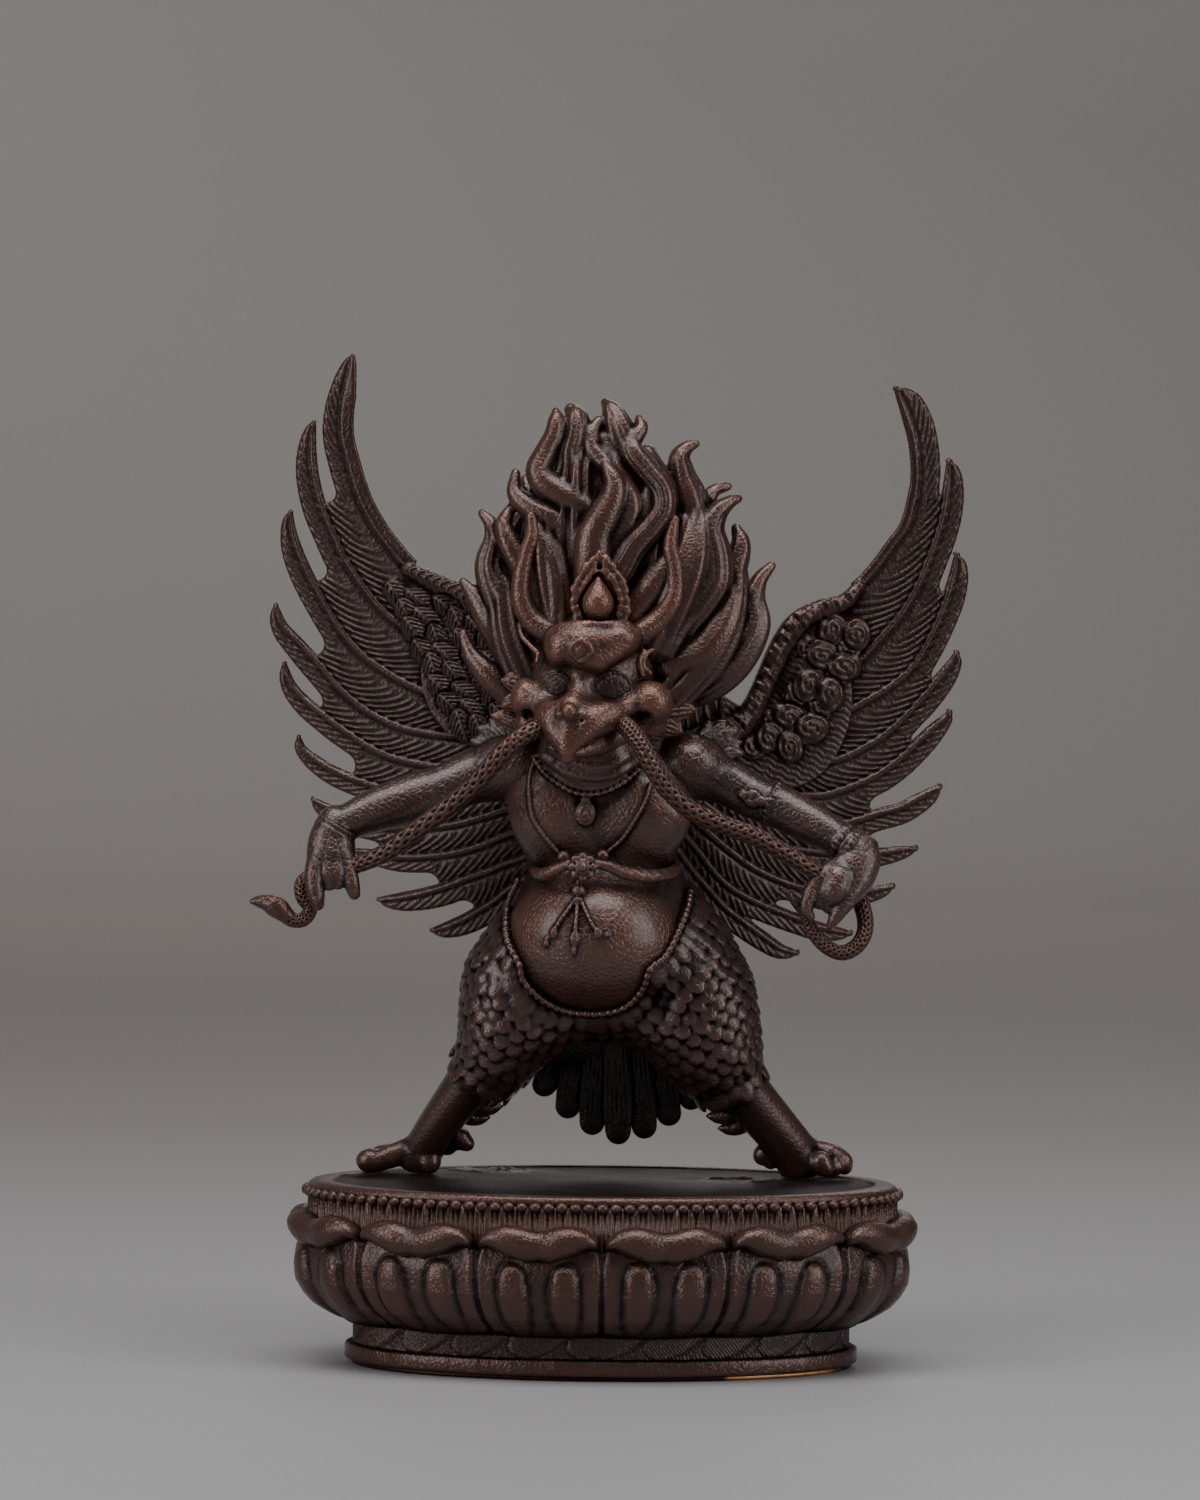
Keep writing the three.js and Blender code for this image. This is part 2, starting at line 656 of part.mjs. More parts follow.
// The whole cast figure, with the soles cut flat where they meet the plinth
function figure() {
  const parts = [
    ...torso(), ...head(), ...horns(), ...ears(), ...crown(), ...hair(), ...arms(), ...hands(),
    ...snake(), ...legs(), ...feet(), ...spurs(), ...tail(), ...wing(wings.left),
    ...wing(wings.right), ...jewellery(),
  ];
  const joined = parts.reduce((whole, part) => whole.add(part));
  const below = new THREE.BoxGeometry(200 * unit, 200 * unit, 20 * unit);
  below.translate(0, 0, plinthHeight - 10 * unit);
  const { vertProperties, triVerts } = joined.subtract(solid(below)).getMesh();
  const geometry = new THREE.BufferGeometry();
  geometry.setAttribute("position", new THREE.BufferAttribute(vertProperties, 3));
  geometry.setIndex(new THREE.BufferAttribute(withoutPockets(vertProperties, triVerts), 1));
  return geometry;
}

// Plinth

const clawReach = 31.2 * unit;
const heelReach = 13.5 * unit;
const topHalfLength = clawReach + sideMargin;
const topHalfDepth = heelReach + backMargin;
const coreHalfLength = topHalfLength + beadRoll / 2;
const roundness = topHalfDepth / topHalfLength;
const neckHalfLength = coreHalfLength - petalTaper;
const flangeHalfLength = neckHalfLength + flangeStep;
const flangeTop = plateThickness + flangeHeight;
const neckTop = flangeTop + neckHeight;
const bandTop = plinthHeight - 2 * beadRoll;

// Angles that space a number of columns evenly around an oval, from the middle of its front
function evenAngles(count, halfLength, halfDepth) {
  const fine = 3600;
  const walked = [0];
  const angleAt = (i) => -Math.PI / 2 + (i / fine) * 2 * Math.PI;
  for (let i = 0; i < fine; i++) {
    const dx = halfLength * (Math.cos(angleAt(i + 1)) - Math.cos(angleAt(i)));
    const dy = halfDepth * (Math.sin(angleAt(i + 1)) - Math.sin(angleAt(i)));
    walked.push(walked[i] + Math.hypot(dx, dy));
  }
  return Array.from({ length: count }, (_, column) => {
    const goal = (walked[fine] * column) / count;
    return angleAt(walked.findIndex((length) => length >= goal));
  });
}

function plinth() {
  const columnsPerPetal = 4;
  const angles = evenAngles(petalCount * columnsPerPetal, coreHalfLength, coreHalfLength * roundness);

  // A petal's profile, top to bottom. up: height as a share of the petal zone. narrow: share of
  // the taper. out: share of the lip's relief. lift: how far its middle rises or droops. cleft:
  // depth of the crease between its two lobes
  const petalRows = [
    { up: 0.84, narrow: 0.07, out: 0.2, lift: 0.08, cleft: 0 },
    { up: 0.81, narrow: 0.03, out: 0.76, lift: 0.14, cleft: 0.12 },
    { up: 0.78, narrow: 0, out: 1, lift: 0.03, cleft: 0.1 },
    { up: 0.75, narrow: 0, out: 0.86, lift: -0.07, cleft: 0.1 },
    { up: 0.71, narrow: 0, out: 0.56, lift: -0.05, cleft: 0.2 },
    { up: 0.58, narrow: 0.02, out: 0.8, lift: 0, cleft: 0.34 },
    { up: 0.33, narrow: 0.16, out: 0.82, lift: 0, cleft: 0.34 },
    { up: 0.14, narrow: 0.52, out: 0.66, lift: 0, cleft: 0.3 },
  ];
  const petalZone = bandTop - neckTop;
  const outer = [
    { half: topHalfLength, z: plinthHeight },
    { half: topHalfLength + beadRoll, z: plinthHeight - beadRoll },
    { half: coreHalfLength - petalTaper * 0.07, z: bandTop },
    ...petalRows.map(({ up, narrow, out, lift, cleft }) => ({
      half: coreHalfLength - petalTaper * narrow,
      z: neckTop + petalZone * up,
      out: lipRelief * out,
      lift: petalZone * lift,
      cleft,
    })),
    { half: neckHalfLength, z: neckTop },
    { half: neckHalfLength, z: flangeTop },
    { half: flangeHalfLength, z: flangeTop },
    { half: flangeHalfLength, z: plateThickness },
  ];
  const inner = [
    { half: neckHalfLength, z: plateThickness, inset: wall },
    { half: neckHalfLength, z: neckTop, inset: wall },
    { half: coreHalfLength - petalTaper * 0.1, z: mix(neckTop, bandTop, 0.45), inset: wall },
    { half: coreHalfLength - petalTaper * 0.1, z: plinthHeight - wall, inset: wall },
  ];
  const rings = [...outer, ...inner].map(({ half, z, out = 0, lift = 0, cleft = 0, inset = 0 }) =>
    angles.map((angle, column) => {
      const share = (column % columnsPerPetal) / columnsPerPetal;
      const crease = cleft * Math.exp(-(((share - 0.5) / 0.12) ** 2));
      const fullness = Math.sin(Math.PI * share) ** 0.25 * (1 - crease);
      const normal = new THREE.Vector2(Math.cos(angle), Math.sin(angle) / roundness).normalize();
      const away = out * fullness - inset;
      return new THREE.Vector3(
        half * Math.cos(angle) + normal.x * away,
        half * roundness * Math.sin(angle) + normal.y * away,
        z + lift * fullness,
      );
    }),
  );
  const topMiddle = new THREE.Vector3(0, 0, plinthHeight);
  const innerMiddle = new THREE.Vector3(0, 0, plinthHeight - wall);
  rings.reverse();
  return skin(rings, innerMiddle, topMiddle);
}

function plate() {
  const outline = new THREE.Shape();
  const halfLength = flangeHalfLength - plateInset;
  const halfDepth = flangeHalfLength * roundness - plateInset;
  outline.absellipse(0, 0, halfLength, halfDepth, 0, 2 * Math.PI);
  return new THREE.ExtrudeGeometry(outline, {
    depth: plateThickness,
    bevelEnabled: false,
    curveSegments: 24,
  });
}

// Finishes: oxidised copper alloy, and bare copper where the plate's edge shows
const patina = { color: 0x3b2622, roughness: 0.42, metalness: 0.75 };
const bareCopper = { color: 0xb56a3c, roughness: 0.4, metalness: 0.9 };

const group = new THREE.Group();
group.name = "garuda_on_lotus_plinth";
for (const [name, geometry, finish] of [
  ["garuda_figure", figure(), patina],
  ["lotus_plinth", plinth(), patina],
  ["base_plate", plate(), bareCopper],
]) {
  geometry.computeVertexNormals();
  const mesh = new THREE.Mesh(geometry, new THREE.MeshStandardMaterial(finish));
  mesh.name = name;
  group.add(mesh);
}

export default group;
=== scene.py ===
import json
import math
import time

import bpy
import numpy as np
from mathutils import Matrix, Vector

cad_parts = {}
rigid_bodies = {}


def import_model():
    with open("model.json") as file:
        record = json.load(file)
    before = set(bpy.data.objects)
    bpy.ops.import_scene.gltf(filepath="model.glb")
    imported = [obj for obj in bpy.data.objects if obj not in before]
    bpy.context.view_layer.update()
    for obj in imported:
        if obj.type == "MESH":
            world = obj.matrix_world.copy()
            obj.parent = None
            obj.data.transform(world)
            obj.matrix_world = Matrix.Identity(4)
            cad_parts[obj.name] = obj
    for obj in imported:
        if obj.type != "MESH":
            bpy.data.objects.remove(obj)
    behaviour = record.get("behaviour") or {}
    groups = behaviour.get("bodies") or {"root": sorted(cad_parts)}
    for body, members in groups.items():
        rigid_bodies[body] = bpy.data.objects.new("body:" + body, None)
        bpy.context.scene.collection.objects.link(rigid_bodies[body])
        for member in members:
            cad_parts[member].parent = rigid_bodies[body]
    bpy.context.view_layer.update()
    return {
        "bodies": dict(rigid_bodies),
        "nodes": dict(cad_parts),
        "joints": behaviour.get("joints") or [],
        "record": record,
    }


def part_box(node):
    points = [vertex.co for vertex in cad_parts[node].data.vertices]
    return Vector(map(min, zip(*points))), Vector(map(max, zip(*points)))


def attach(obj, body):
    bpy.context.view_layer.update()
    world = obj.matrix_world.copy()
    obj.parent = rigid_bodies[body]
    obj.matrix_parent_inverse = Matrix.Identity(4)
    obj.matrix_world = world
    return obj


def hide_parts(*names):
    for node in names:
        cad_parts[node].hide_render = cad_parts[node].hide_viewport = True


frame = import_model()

import openvdb as vdb
from mathutils import Matrix, Vector, noise

started = time.time()

# The figure is drawn in mm on a figure 104.4 mm high, with its soles at height 0
figureLow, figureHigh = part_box("garuda_figure")
plinthLow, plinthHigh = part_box("lotus_plinth")
drawnHeight = 104.4
unit = (figureHigh[2] - figureLow[2]) / drawnHeight  # metres for one drawn mm
ground = plinthHigh[2]  # the surface the figure stands on
mm = 0.001
towardsViewer = np.array([0.0, -1.0, 0.0])


def report(words):
    print(f"[{time.time() - started:6.1f} s] {words}", flush=True)


# Lines and closed shapes, as points and triangles


def normalise(vectors):
    return vectors / np.maximum(np.linalg.norm(vectors, axis=-1, keepdims=True), 1e-9)


def softMin(a, b, blend):
    # the lesser of two distances, rounded where they are alike
    share = np.clip(0.5 + 0.5 * (b - a) / blend, 0, 1)
    return b + (a - b) * share - blend * share * (1 - share)


def smoothLine(rows, count):
    # a Catmull-Rom line through rows of numbers
    rows = np.array(rows, float)
    ends = np.vstack([2 * rows[0] - rows[1], rows, 2 * rows[-1] - rows[-2]])
    place = np.linspace(0, len(rows) - 1, count)
    i = np.minimum(place.astype(int), len(rows) - 2)
    t = (place - i)[:, None]
    a, b, c, d = ends[i], ends[i + 1], ends[i + 2], ends[i + 3]
    bend = (2 * a - 5 * b + 4 * c - d) * t**2 + (3 * b - a - 3 * c + d) * t**3
    return 0.5 * (2 * b + (c - a) * t + bend)


def skinRings(rings, start, end):
    # closes a stack of rings, each with the same number of points, on a point at both ends
    count, sides = rings.shape[:2]
    points = np.vstack([[start], rings.reshape(-1, 3), [end]])
    ring, side = np.meshgrid(np.arange(count - 1), np.arange(sides), indexing="ij")
    here = 1 + ring * sides + side
    beside = 1 + ring * sides + (side + 1) % sides
    walls = np.concatenate([
        np.stack([here, beside, here + sides], -1).reshape(-1, 3),
        np.stack([beside, beside + sides, here + sides], -1).reshape(-1, 3),
    ])
    around = np.arange(sides)
    beyond = (around + 1) % sides
    last = len(points) - 1
    top = 1 + (count - 1) * sides
    firstCap = np.stack([np.zeros(sides, int), 1 + beyond, 1 + around], -1)
    lastCap = np.stack([np.full(sides, last), top + around, top + beyond], -1)
    return points, np.concatenate([firstCap, walls, lastCap])


def tube(rows, sides=18, fine=5, relief=None):
    # rows of x, y, z, half-width and half-depth. The depth lies front to back, and relief gives
    # how far the skin stands out at a share of the length and an angle around it
    rows = [(*row[:4], row[4] if len(row) > 4 else row[3]) for row in rows]
    count = fine * (len(rows) - 1) + 1
    line = smoothLine(rows, count)
    centre, girth = line[:, :3], np.maximum(line[:, 3:], 0.03)
    along = normalise(np.gradient(centre, axis=0))
    share = np.linspace(0, 1, count)
    roundEnd = np.radians([78, 52, 26])
    reach = np.minimum(girth[:, 0], girth[:, 1])

    def ended(values, factor, offset):
        first = [values[0] * factor(a) - offset(0, a) for a in roundEnd]
        last = [values[-1] * factor(a) + offset(-1, a) for a in roundEnd[::-1]]
        return np.vstack([first, values, last])

    centre = ended(centre, lambda a: 1, lambda i, a: along[i] * reach[i] * math.sin(a))
    girth = ended(girth, math.cos, lambda i, a: 0)
    along = ended(along, lambda a: 1, lambda i, a: 0)
    share = np.concatenate([np.zeros(3), share, np.ones(3)])
    side = normalise(np.cross(along, towardsViewer))
    face = np.cross(side, along)
    turn = np.arange(sides) / sides * 2 * math.pi
    stand = relief(share[:, None], turn[None, :]) if relief else np.zeros((len(share), sides))
    across = (girth[:, :1] + stand) * np.cos(turn)
    deep = (girth[:, 1:] + stand) * np.sin(turn)
    rings = centre[:, None] + side[:, None] * across[..., None] - face[:, None] * deep[..., None]
    tips = reach[0] * 0.02, reach[-1] * 0.02
    return skinRings(rings, centre[0] - along[0] * tips[0], centre[-1] + along[-1] * tips[1])


def ball(centre, radii, turns=(0, 0, 0), sides=22):
    radii = np.broadcast_to(radii, 3)
    levels = max(11, sides // 2)
    height = np.radians(np.linspace(-86, 86, levels))
    around = np.arange(sides) / sides * 2 * math.pi
    rings = np.stack([
        np.cos(height)[:, None] * np.cos(around),
        np.cos(height)[:, None] * np.sin(around),
        np.broadcast_to(np.sin(height)[:, None], (levels, sides)),
    ], -1)
    points, faces = skinRings(rings, [0, 0, -1], [0, 0, 1])
    rotate = np.eye(3)
    for axis, angle in zip("XYZ", turns):
        rotate = np.array(Matrix.Rotation(math.radians(angle), 3, axis)) @ rotate
    return points * radii @ rotate.T + np.array(centre), faces


def together(shapes):
    points, faces, count = [], [], 0
    for somePoints, someFaces in shapes:
        points.append(somePoints)
        faces.append(someFaces + count)
        count += len(somePoints)
    return np.vstack(points), np.vstack(faces)


farAway = 9.0  # mm, stands for every distance too large to be measured


class Wax:
    # a block of wax, kept as distances in mm on a grid: what is added or cut away blends softly
    def __init__(self, low, high, grain, wide=1.2):
        self.grain = grain
        self.reach = math.ceil(wide / grain)  # cells measured on both sides of a shape's skin
        self.first = np.floor(np.array(low) / grain).astype(int)
        size = np.ceil(np.array(high) / grain).astype(int) - self.first + 1
        self.field = np.full(size, farAway, np.float32)
        self.lattice = vdb.createLinearTransform(voxelSize=grain)

    def refine(self):
        # once the broad forms are blended, distances near the surface are enough
        self.reach = 5

    def measure(self, shape, blend):
        points, faces = shape
        reach = max(self.reach, math.ceil(1.1 * blend / self.grain))
        edge = self.first + self.field.shape - 1
        low = np.floor(points.min(0) / self.grain).astype(int) - reach - 1
        high = np.ceil(points.max(0) / self.grain).astype(int) + reach + 1
        low = np.clip(low, self.first, edge)
        high = np.clip(high, self.first, edge)
        level = vdb.FloatGrid.createLevelSetFromPolygons(
            points.astype(np.float32),
            triangles=faces.astype(np.uint32),
            transform=self.lattice,
            halfWidth=reach,
        )
        values = np.empty(high - low + 1, np.float32)
        level.copyToArray(values, ijk=tuple(int(i) for i in low))
        values[values > (reach - 0.01) * self.grain] = farAway
        window = tuple(slice(a, b + 1) for a, b in zip(low - self.first, high - self.first))
        return window, values

    def join(self, shape, blend, sign):
        # sign 1 adds the shape and -1 cuts it away
        window, new = self.measure(shape, blend)
        old = sign * self.field[window]
        self.field[window] = sign * np.where(new < farAway, softMin(old, new, blend), old)

    def add(self, shape, blend=0.3):
        self.join(shape, blend, 1)

    def cut(self, shape, blend=0.2):
        self.join(shape, blend, -1)

    def addBalls(self, rows):
        # rows of centre, radii, sides and blend
        for centre, radii, sides, blend in rows:
            self.add(ball(centre, radii, sides=sides), blend)

    def frontAt(self, x, z):
        # the depth y at which a look from the front first meets the wax
        i, k = (int(round(v / self.grain)) - f for v, f in zip((x, z), (self.first[0], self.first[2])))
        column = self.field[i, :, k]
        inside = np.nonzero(column < 0)[0]
        if len(inside) == 0 or inside[0] == 0:
            return None
        j = inside[0]
        share = column[j - 1] / (column[j - 1] - column[j])
        return (self.first[1] + j - 1 + share) * self.grain

    def laid(self, rows, lift=0.0, fine=6):
        # lays rows of x, z and more numbers on the front of the wax
        line = smoothLine(rows, fine * (len(rows) - 1) + 1)
        depth = [self.frontAt(row[0], row[1]) for row in line]
        known = [d for d in depth if d is not None]
        depth = [known[0] if d is None else d for d in depth]
        soft = np.convolve(np.pad(depth, 1, mode="edge"), [0.25, 0.5, 0.25], mode="valid")
        return [(row[0], y - lift, row[1], *row[2:]) for row, y in zip(line, soft)]

    def depthAt(self, x, z, beside=(0.1, 0)):
        return self.laid([(x, z), (x + beside[0], z + beside[1])])[0][1]

    def surface(self):
        # the skin of the wax, softened once, as points and triangles
        band = 5 * self.grain
        field = np.clip(self.field, -band, band)
        for axis in range(3):
            near = np.moveaxis(field, axis, 0)
            calm = near.copy()
            calm[1:-1] = near[1:-1] * 0.5 + (near[:-2] + near[2:]) * 0.25
            field = np.moveaxis(calm, 0, axis)
        grid = vdb.FloatGrid(band)
        grid.transform = self.lattice
        grid.copyFromArray(np.ascontiguousarray(field), ijk=tuple(int(i) for i in self.first))
        points, triangles, quads = grid.convertToPolygons(isovalue=0)
        halves = [quads[:, [0, 1, 2]], quads[:, [0, 2, 3]], triangles]
        return points.astype(float), np.vstack([h.reshape(-1, 3) for h in halves]).astype(int)


# Pieces


def settle(points, faces, rounds):
    # the points after rounds of moving each one to the middle of its neighbours
    edges = np.vstack([faces[:, [0, 1]], faces[:, [1, 2]], faces[:, [2, 0]]])
    edges = np.unique(np.sort(edges, axis=1), axis=0)
    a, b = edges.T
    count = len(points)
    valence = np.maximum(np.bincount(a, minlength=count) + np.bincount(b, minlength=count), 1)
    for _ in range(rounds):
        moved = np.empty_like(points)
        for axis in range(3):
            values = points[:, axis]
            total = np.bincount(a, values[b], count) + np.bincount(b, values[a], count)
            moved[:, axis] = total / valence
        points = moved
    return points


def pointNormals(points, faces):
    corners = points[faces]
    across = np.cross(corners[:, 1] - corners[:, 0], corners[:, 2] - corners[:, 0])
    normals = np.zeros_like(points)
    for corner in range(3):
        for axis in range(3):
            normals[:, axis] += np.bincount(faces[:, corner], across[:, axis], len(points))
    return normalise(normals)


def meshOf(name, points, faces):
    corners = points[faces]
    volume = np.einsum("ij,ij->", corners[:, 0], np.cross(corners[:, 1], corners[:, 2]))
    if volume < 0:
        faces = faces[:, ::-1]
    mesh = bpy.data.meshes.new(name)
    mesh.vertices.add(len(points))
    mesh.vertices.foreach_set("co", points.astype(np.float32).ravel())
    mesh.loops.add(faces.size)
    mesh.loops.foreach_set("vertex_index", faces.astype(np.int32).ravel())
    mesh.polygons.add(len(faces))
    mesh.polygons.foreach_set("loop_start", np.arange(0, faces.size, 3, dtype=np.int32))
    mesh.update(calc_edges=True)
    return mesh


def makePiece(
    name, shape, most, finish, node="garuda_figure", figureSpace=True,
):
    # a finished piece in metres: thinned to at most so many triangles, and with the relief of
    # its surface kept as two attributes for the finish, fine for edges and broad for hollows
    points, faces = shape
    mesh = meshOf(name, points, faces)
    piece = bpy.data.objects.new(name, mesh)
    bpy.context.collection.objects.link(piece)
    if len(faces) > most:
        thin = piece.modifiers.new("thin", "DECIMATE")
        thin.ratio = most / len(faces) * 0.995
        thin.use_collapse_triangulate = True
        thinned = bpy.data.meshes.new_from_object(
            piece.evaluated_get(bpy.context.evaluated_depsgraph_get())
        )
        piece.modifiers.clear()
        piece.data = thinned
        bpy.data.meshes.remove(mesh)
        mesh = thinned
        mesh.name = name
    count = len(mesh.vertices)
    points = np.empty(count * 3, np.float32)
    mesh.vertices.foreach_get("co", points)
    points = points.reshape(-1, 3).astype(float)
    faces = np.empty(len(mesh.loops), np.int32)
    mesh.loops.foreach_get("vertex_index", faces)
    faces = faces.reshape(-1, 3)
    normals = pointNormals(points, faces)
    for attribute, rounds, full in (("fineRelief", 3, 0.06), ("broadRelief", 33, 0.5)):
        stand = np.einsum("ij,ij->i", points - settle(points, faces, rounds), normals)
        values = np.clip(0.5 + 0.5 * settle(stand[:, None].repeat(3, 1), faces, 1)[:, 0] / full, 0, 1)
        layer = mesh.attributes.new(attribute, "FLOAT", "POINT")
        layer.data.foreach_set("value", values.astype(np.float32))
    if figureSpace:
        points = points * unit + [0, 0, ground]
    else:
        points = points * mm
    mesh.vertices.foreach_set("co", points.astype(np.float32).ravel())
    mesh.polygons.foreach_set("use_smooth", np.ones(len(mesh.polygons), bool))
    mesh.materials.append(finish)
    mesh.update()
    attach(piece, "root")
    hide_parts(node)
    report(f"{name}: {len(mesh.polygons)} triangles")
    return piece


# Finishes


class Flow:
    # a socket of a material's nodes that can stand in a formula
    def __init__(self, tree, socket):
        self.tree = tree
        self.socket = socket

    def node(self, kind, output=0, settings=None, **inputs):
        made = self.tree.nodes.new(kind)
        settings = dict(settings or {})
        stops = settings.pop("stops", None)
        for name, value in settings.items():
            setattr(made, name, value)
        if stops:
            ramp = made.color_ramp
            while len(ramp.elements) < len(stops):
                ramp.elements.new(0.5)
            for element, (place, colour) in zip(ramp.elements, stops):
                element.position = place
                element.color = colour if len(colour) == 4 else (*colour, 1)
        for name, value in inputs.items():
            key = int(name[1:]) if name[0] == "i" and name[1:].isdigit() else name
            socket = made.inputs[key]
            if isinstance(value, Flow):
                self.tree.links.new(value.socket, socket)
            else:
                socket.default_value = value
        return Flow(self.tree, made.outputs[output])

    def maths(self, operation, *values, clamp=False):
        settings = {"operation": operation, "use_clamp": clamp}
        return self.node(
            "ShaderNodeMath", settings=settings, **{f"i{i}": v for i, v in enumerate(values)},
        )

    def __add__(self, other):
        return self.maths("ADD", self, other)

    def __sub__(self, other):
        return self.maths("SUBTRACT", self, other)

    def __rsub__(self, other):
        return self.maths("SUBTRACT", other, self)

    def __mul__(self, other):
        return self.maths("MULTIPLY", self, other)

    __radd__ = __add__
    __rmul__ = __mul__

    def clamp(self):
        return self.maths("ADD", self, 0.0, clamp=True)

    def mixed(self, share, first, second, how="MIX"):
        settings = {"data_type": "RGBA", "blend_type": how}
        return self.node("ShaderNodeMix", output=2, settings=settings, i0=share, i6=first, i7=second)

    def blend(self, first, second):
        # this share of the way from the first colour to the second
        return self.mixed(self, first, second)


def newFinish(name):
    finish = bpy.data.materials.new(name)
    finish.use_nodes = True
    tree = finish.node_tree
    shader = tree.nodes["Principled BSDF"]
    place = Flow(tree, None).node("ShaderNodeTexCoord", output=3)
    return finish, tree, shader, place


patinaLook = {
    # near black: for specks, for the hollows, where it is dark patina and painted shade in one, and for
    # finishes darkened all over, as the eyes are with painted shade
    "crevice": (0.0085, 0.0045, 0.004, 1),
    "body": (0.040, 0.0190, 0.0158, 1),
    "cool": (0.038, 0.0255, 0.0242, 1),
    "worn": (0.160, 0.066, 0.043, 1),
    "roughness": 0.33,
    "metal": 0.5,
    "coatRoughness": 0.24,
    # how many of each go into a metre
    "cloud": 160.0,
    "drift": 42.0,
    "grit": 2400.0,
    "dents": 750.0,
    "leather": 1500.0,
    "bumpHeight": 0.0002,
}


def patina(name, worn=1.0, cool=0.45, grain=0.5, dark=1.0, depth=1.0, sheen=0.25, rubbed=0.0, matt=0.0):
    # oxidised copper alloy: near black in the hollows, dark patina and painted shade in one, and
    # reddish where hands have rubbed it. Each finish says how much of each it has, and grain is the
    # strength of its bumps
    look = patinaLook
    finish, tree, shader, place = newFinish(name)
    fine = place.node("ShaderNodeAttribute", output=2, settings={"attribute_name": "fineRelief"})
    broad = place.node("ShaderNodeAttribute", output=2, settings={"attribute_name": "broadRelief"})
    cloud = place.node("ShaderNodeTexNoise", Vector=place, Scale=look["cloud"], Detail=4.0, Roughness=0.6)
    grit = place.node("ShaderNodeTexNoise", Vector=place, Scale=look["grit"], Detail=3.0, Roughness=0.65)
    drift = place.node("ShaderNodeTexNoise", Vector=place, Scale=look["drift"], Detail=2.0)
    leather = place.node(
        "ShaderNodeTexVoronoi", settings={"feature": "DISTANCE_TO_EDGE"}, Vector=place,
        Scale=look["leather"],
    )
    edge = ((fine - 0.5) * 1.5 + (broad - 0.5) * 0.9 + (cloud - 0.5) * 0.9).clamp()
    hollowPatinaAndShade = ((0.5 - fine) * 2.3 * depth + (0.5 - broad) * 1.5 * depth).clamp()
    tone = ((drift - 0.42) * 3.0 + (cool - 0.5)).clamp().blend(look["body"], look["cool"])
    tone = (edge * worn + rubbed).clamp().blend(tone, look["worn"])
    speck = ((grit - 0.55) * 5.0).clamp()
    tone = (speck * 0.35).blend(tone, look["crevice"])
    # painted shade: hollows found from the relief attributes go towards near black, which stands for the
    # dark patina there and the shadow in them together
    tone = (hollowPatinaAndShade * 0.93).clamp().blend(tone, look["crevice"])
    # darker all over, towards the near-black colour; the eyes take this as painted shade for the shadow
    # under the brow
    if dark < 1:
        tone = place.mixed(1 - dark, tone, look["crevice"])
    rough = look["roughness"] + matt + (cloud - 0.5) * 0.24 + hollowPatinaAndShade * 0.22 - edge * 0.08 + speck * 0.12
    links = tree.links
    links.new(tone.socket, shader.inputs["Base Color"])
    links.new(rough.clamp().socket, shader.inputs["Roughness"])
    # no sheen in the hollows
    links.new((look["metal"] + hollowPatinaAndShade * 0.6).clamp().socket, shader.inputs["Metallic"])
    links.new((sheen - hollowPatinaAndShade * sheen).clamp().socket, shader.inputs["Coat Weight"])
    shader.inputs["Coat Roughness"].default_value = look["coatRoughness"]
    skin = (leather * 4.0).clamp()
    dents = place.node("ShaderNodeTexNoise", Vector=place, Scale=look["dents"], Detail=2.0, Roughness=0.5)
    height = grit * 0.6 + skin * 0.6 + dents * 0.9
    bump = height.node("ShaderNodeBump", Strength=grain, Distance=look["bumpHeight"], Height=height)
    links.new(bump.socket, shader.inputs["Normal"])
    return finish


def bareCopper():
    finish, tree, shader, place = newFinish("bareCopper")
    streak = place.node("ShaderNodeTexNoise", Vector=place, Scale=90.0, Detail=5.0)
    fleck = place.node("ShaderNodeTexNoise", Vector=place, Scale=900.0, Detail=2.0)
    # bright copper colour in random streaks and in a band from 14.8 to 29.2 mm along x, at the front right
    along = place.node("ShaderNodeSeparateXYZ", output=0, Vector=place)
    copperBand = ((along - 0.0148) * 900.0).clamp() * ((0.0292 - along) * 900.0).clamp()
    brightCopperShare = ((streak - 0.62) * 5.0 + copperBand * 1.4).clamp()
    tone = brightCopperShare.blend((0.060, 0.028, 0.018, 1), (0.82, 0.40, 0.16, 1))
    tree.links.new(tone.socket, shader.inputs["Base Color"])
    rough = 0.3 + fleck * 0.25
    tree.links.new(rough.socket, shader.inputs["Roughness"])
    shader.inputs["Metallic"].default_value = 0.95
    bump = fleck.node("ShaderNodeBump", Strength=0.3, Distance=0.0001, Height=fleck)
    tree.links.new(bump.socket, shader.inputs["Normal"])
    return finish


# Plinth, in mm from the middle of the plate's underside

